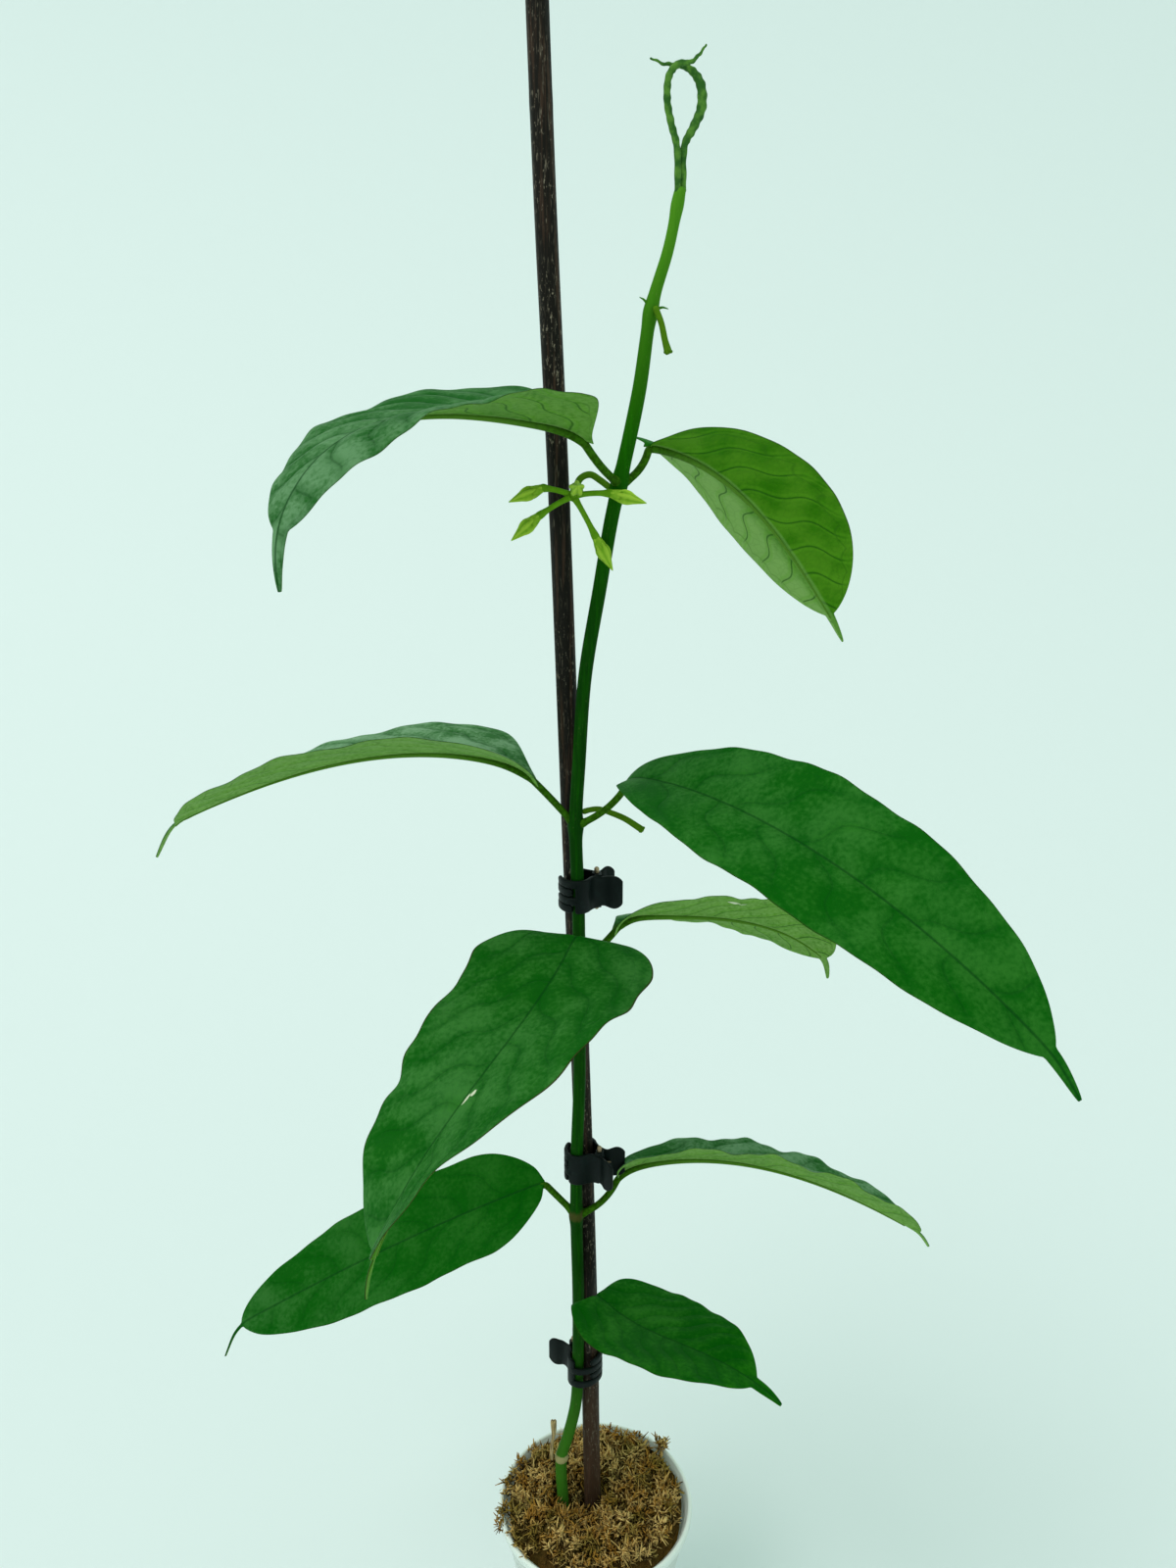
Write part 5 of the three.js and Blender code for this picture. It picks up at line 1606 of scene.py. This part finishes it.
def placed(shells, centre, angle):
    """Turns shells about Z and moves them to a clip's place."""
    cos, sin = math.cos(angle), math.sin(angle)
    turn = np.array([[cos, -sin, 0], [sin, cos, 0], [0, 0, 1]])
    for shell in shells:
        shell.rings = shell.rings @ turn.T + centre
    return shells


def pin_shells():
    """The hinge pin, with a slightly upset head."""
    z = np.linspace(-PIN["down"], PIN["up"] - 0.5, 12)
    points = np.stack([np.full(12, PIN["x"]), 0 * z, z], -1)
    radii = PIN["radius"] * (1 + 0.18 * eased(z, PIN["up"] - 1.6, PIN["up"] - 0.6))
    return [tube(points, radii, 20, (0, 1, 0))]


def spring_shells():
    """The coil: a helix about the pin, with one straight leg to the back wing."""
    turns = np.linspace(0, COIL["turns"], 90)
    angle = turns * 2 * math.pi + COIL["start"]
    z = lerp(-COIL["height"] / 2, COIL["height"] / 2, turns / COIL["turns"])
    helix = np.stack([PIN["x"] + COIL["radius"] * np.cos(angle), COIL["radius"] * np.sin(angle), z], -1)
    leg_end = np.array([PIN["x"] + COIL["leg"][0], COIL["leg"][1], COIL["height"] / 2])
    leg = lerp(helix[-1], leg_end, np.linspace(0.08, 1, 12)[:, None])
    path = np.vstack([helix, leg])
    return [tube(path, np.full(len(path), COIL["wire"]), 8, (0.02, 0.03, 1))]


def clip_material(looks):
    """Black moulded plastic, faintly blue, with a fine spark-eroded grain and dusty wear."""
    shader = Shader("clip_plastic", specular_ior_level=0.11)
    grain = shader.noise(0.25, detail=2)
    dust = shader.ramp(shader.noise(3.0, detail=3), 0.52, 0.75)
    pale = tuple(c * 2.2 + 0.002 for c in looks.plastic)
    shader.colour(shader.mix(dust * 0.6, looks.plastic, pale))
    shader.roughness(0.40 + dust * 0.18 + grain * 0.08)
    shader.bump(grain, 0.05)
    return shader.material


def steel_material(looks):
    """Tarnished steel wire."""
    shader = Shader("clip_steel", metallic=0.75)
    stain = shader.noise(0.9, detail=3)
    dark = scaled(looks.steel, 0.4)
    shader.colour(shader.mix(shader.ramp(stain, 0.35, 0.65), dark, looks.steel))
    shader.roughness(0.35 + stain * 0.3)
    return shader.material


def make_clips(looks):
    """Two jaws, a pin and a spring for each clip; the front jaw rides on the hinge's own body."""
    plastic, steel = clip_material(looks), steel_material(looks)
    for name, height in CLIP_HEIGHTS.items():
        place = clip_place(height, name in CLIP_TURNED)
        for jaw, body in (("front", f"{name}_jaw"), ("back", PLANT)):
            node = f"{name}_jaw_{jaw}"
            shells = placed(jaw_shells(jaw == "front", looks), *place)
            make_piece(f"{node}_fine", shells, plastic, [node], body)
        for part, shells in (("pin", pin_shells()), ("spring", spring_shells())):
            node = f"{name}_{part}"
            make_piece(f"{node}_fine", placed(shells, *place), steel, [node])


# Stage

def stage_material(looks):
    """Plain pale matt cloth."""
    shader = Shader("stage", roughness=0.9, specular_ior_level=0.1)
    shader.colour((*looks.floor, 1))
    return shader.material


def make_backdrop(looks):
    """A level floor that turns up in a quarter circle to a wall behind the plant."""
    wide, back, bend = BACKDROP["half_width"], BACKDROP["back"], BACKDROP["bend"]
    angle = np.linspace(0, math.pi / 2, 48)
    profile = np.vstack([
        [(BACKDROP["front"], 0.0)],
        np.stack([back - bend + bend * np.sin(angle), bend - bend * np.cos(angle)], -1),
        [(back, BACKDROP["height"])],
    ])
    left = np.column_stack([np.full(len(profile), -wide), profile])
    right = np.column_stack([np.full(len(profile), wide), profile])
    points = np.vstack([left, right])
    count = len(profile)
    faces = [[k, k + count, k + count + 1, k + 1] for k in range(count - 1)]
    backdrop = mesh_object("backdrop", points, faces, stage_material(looks))


def add_light(name, colour_value, power, size, place, target):
    """A square area light that faces a target, both in metres."""
    data = bpy.data.lights.new(name, "AREA")
    data.color, data.energy, data.size = colour_value, power, size
    light = bpy.data.objects.new(name, data)
    light.location = place
    aim = np.array(target) - np.array(place)
    flat = math.hypot(aim[0], aim[1])
    pitch = math.pi / 2 + math.atan2(aim[2], flat)
    light.rotation_euler = (pitch, 0, math.atan2(aim[1], aim[0]) - math.pi / 2)
    bpy.context.scene.collection.objects.link(light)


def make_camera():
    """The photograph's viewpoint; the sensor's width stands for the image's long side."""
    data = bpy.data.cameras.new("camera")
    data.sensor_width = SENSOR
    data.lens = SENSOR * FOCAL_PIXELS / LONG_SIDE_PIXELS
    data.clip_start, data.clip_end = 0.01, 20
    camera = bpy.data.objects.new("camera", data)
    camera.location = tuple(c * MM for c in CAMERA_PLACE)
    camera.rotation_euler = ((90 - CAMERA_PITCH) * DEG, 0, 0)
    bpy.context.scene.collection.objects.link(camera)
    bpy.context.scene.camera = camera


def make_stage(looks):
    """Backdrop, soft light from all round, a large light at the upper left, and the camera."""
    make_camera()
    make_backdrop(looks)
    world = bpy.data.worlds.new("soft_daylight")
    world.use_nodes = True
    sky = world.node_tree.nodes["Background"]
    sky.inputs["Color"].default_value = (*looks.ambient, 1)
    sky.inputs["Strength"].default_value = looks.ambient_strength
    scene = bpy.context.scene
    scene.world = world
    scene.view_settings.view_transform = "Standard"
    middle = (0, 0, 0.3)
    add_light("key", looks.key, looks.key_power, KEY_SIZE, KEY_PLACE, middle)


# Operators

class HoyaOperator:
    """What the builders share: they can be undone, and only add pieces."""

    bl_options = {"REGISTER", "UNDO"}


class HOYA_OT_stage(HoyaOperator, Operator):
    """Add the pale backdrop, the lights and the camera"""

    bl_idname = "hoya.stage"
    bl_label = "Stage"

    def execute(self, context):
        make_stage(context.scene.hoya_stage)
        return {"FINISHED"}


class HOYA_OT_cup(HoyaOperator, Operator):
    """Add the translucent nursery cup"""

    bl_idname = "hoya.cup"
    bl_label = "Cup"

    def execute(self, context):
        make_cup(context.scene.hoya_cup)
        return {"FINISHED"}


class HOYA_OT_moss(HoyaOperator, Operator):
    """Add the moss: its packed bed, tufts and stray fibres"""

    bl_idname = "hoya.moss"
    bl_label = "Moss"

    def execute(self, context):
        make_moss(context.scene.hoya_moss)
        return {"FINISHED"}


class HOYA_OT_cane(HoyaOperator, Operator):
    """Add the dark cane"""

    bl_idname = "hoya.cane"
    bl_label = "Cane"

    def execute(self, context):
        make_cane(context.scene.hoya_cane)
        return {"FINISHED"}


class HOYA_OT_stem(HoyaOperator, Operator):
    """Add the stem with its bracts, and the dried stub at its lowest node"""

    bl_idname = "hoya.stem"
    bl_label = "Stem"

    def execute(self, context):
        make_stem(context.scene.hoya_stem)
        make_dry_stub(context.scene.hoya_stem)
        return {"FINISHED"}


class HOYA_OT_leaves(HoyaOperator, Operator):
    """Add the nine leaves, each a blade and its stalk"""

    bl_idname = "hoya.leaves"
    bl_label = "Leaves"

    def execute(self, context):
        make_leaves(context.scene.hoya_leaf, context.scene.hoya_stem)
        return {"FINISHED"}


class HOYA_OT_young_leaves(HoyaOperator, Operator):
    """Add the two rolled young leaves at the stem's tip"""

    bl_idname = "hoya.young_leaves"
    bl_label = "Young leaves"

    def execute(self, context):
        make_young_leaves(context.scene.hoya_stem)
        return {"FINISHED"}


class HOYA_OT_flowers(HoyaOperator, Operator):
    """Add the bare flower stalks, the umbel's stalk and its buds"""

    bl_idname = "hoya.flowers"
    bl_label = "Flower stalks and buds"

    def execute(self, context):
        make_bare_stalks(context.scene.hoya_flower)
        make_umbel(context.scene.hoya_flower)
        make_buds(context.scene.hoya_flower)
        return {"FINISHED"}


class HOYA_OT_clips(HoyaOperator, Operator):
    """Add the three spring clips"""

    bl_idname = "hoya.clips"
    bl_label = "Clips"

    def execute(self, context):
        make_clips(context.scene.hoya_clip)
        return {"FINISHED"}


BUILDERS = (
    HOYA_OT_stage, HOYA_OT_cup, HOYA_OT_moss, HOYA_OT_cane, HOYA_OT_stem, HOYA_OT_leaves,
    HOYA_OT_young_leaves, HOYA_OT_flowers, HOYA_OT_clips,
)


class HOYA_PT_sidebar(Panel):
    """Settings and builders of the potted hoya"""

    bl_label = "Potted hoya"
    bl_idname = "HOYA_PT_sidebar"
    bl_space_type = "VIEW_3D"
    bl_region_type = "UI"
    bl_category = "Hoya"

    def draw(self, context):
        layout = self.layout
        for builder in BUILDERS:
            layout.operator(builder.bl_idname)
        for name, group in SETTINGS.items():
            box = layout.box()
            box.label(text=name.removeprefix("hoya_").capitalize())
            for setting in group.__annotations__:
                box.prop(getattr(context.scene, name), setting)


CLASSES = (*SETTINGS.values(), *BUILDERS, HOYA_PT_sidebar)


def register():
    for cls in CLASSES:
        bpy.utils.register_class(cls)
    for name, group in SETTINGS.items():
        setattr(bpy.types.Scene, name, PointerProperty(type=group))


def unregister():
    for name in SETTINGS:
        delattr(bpy.types.Scene, name)
    for cls in reversed(CLASSES):
        bpy.utils.unregister_class(cls)


def main():
    """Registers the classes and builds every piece."""
    register()
    for builder in BUILDERS:
        category, name = builder.bl_idname.split(".")
        getattr(getattr(bpy.ops, category), name)()
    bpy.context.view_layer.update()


if __name__ == "__main__":
    main()
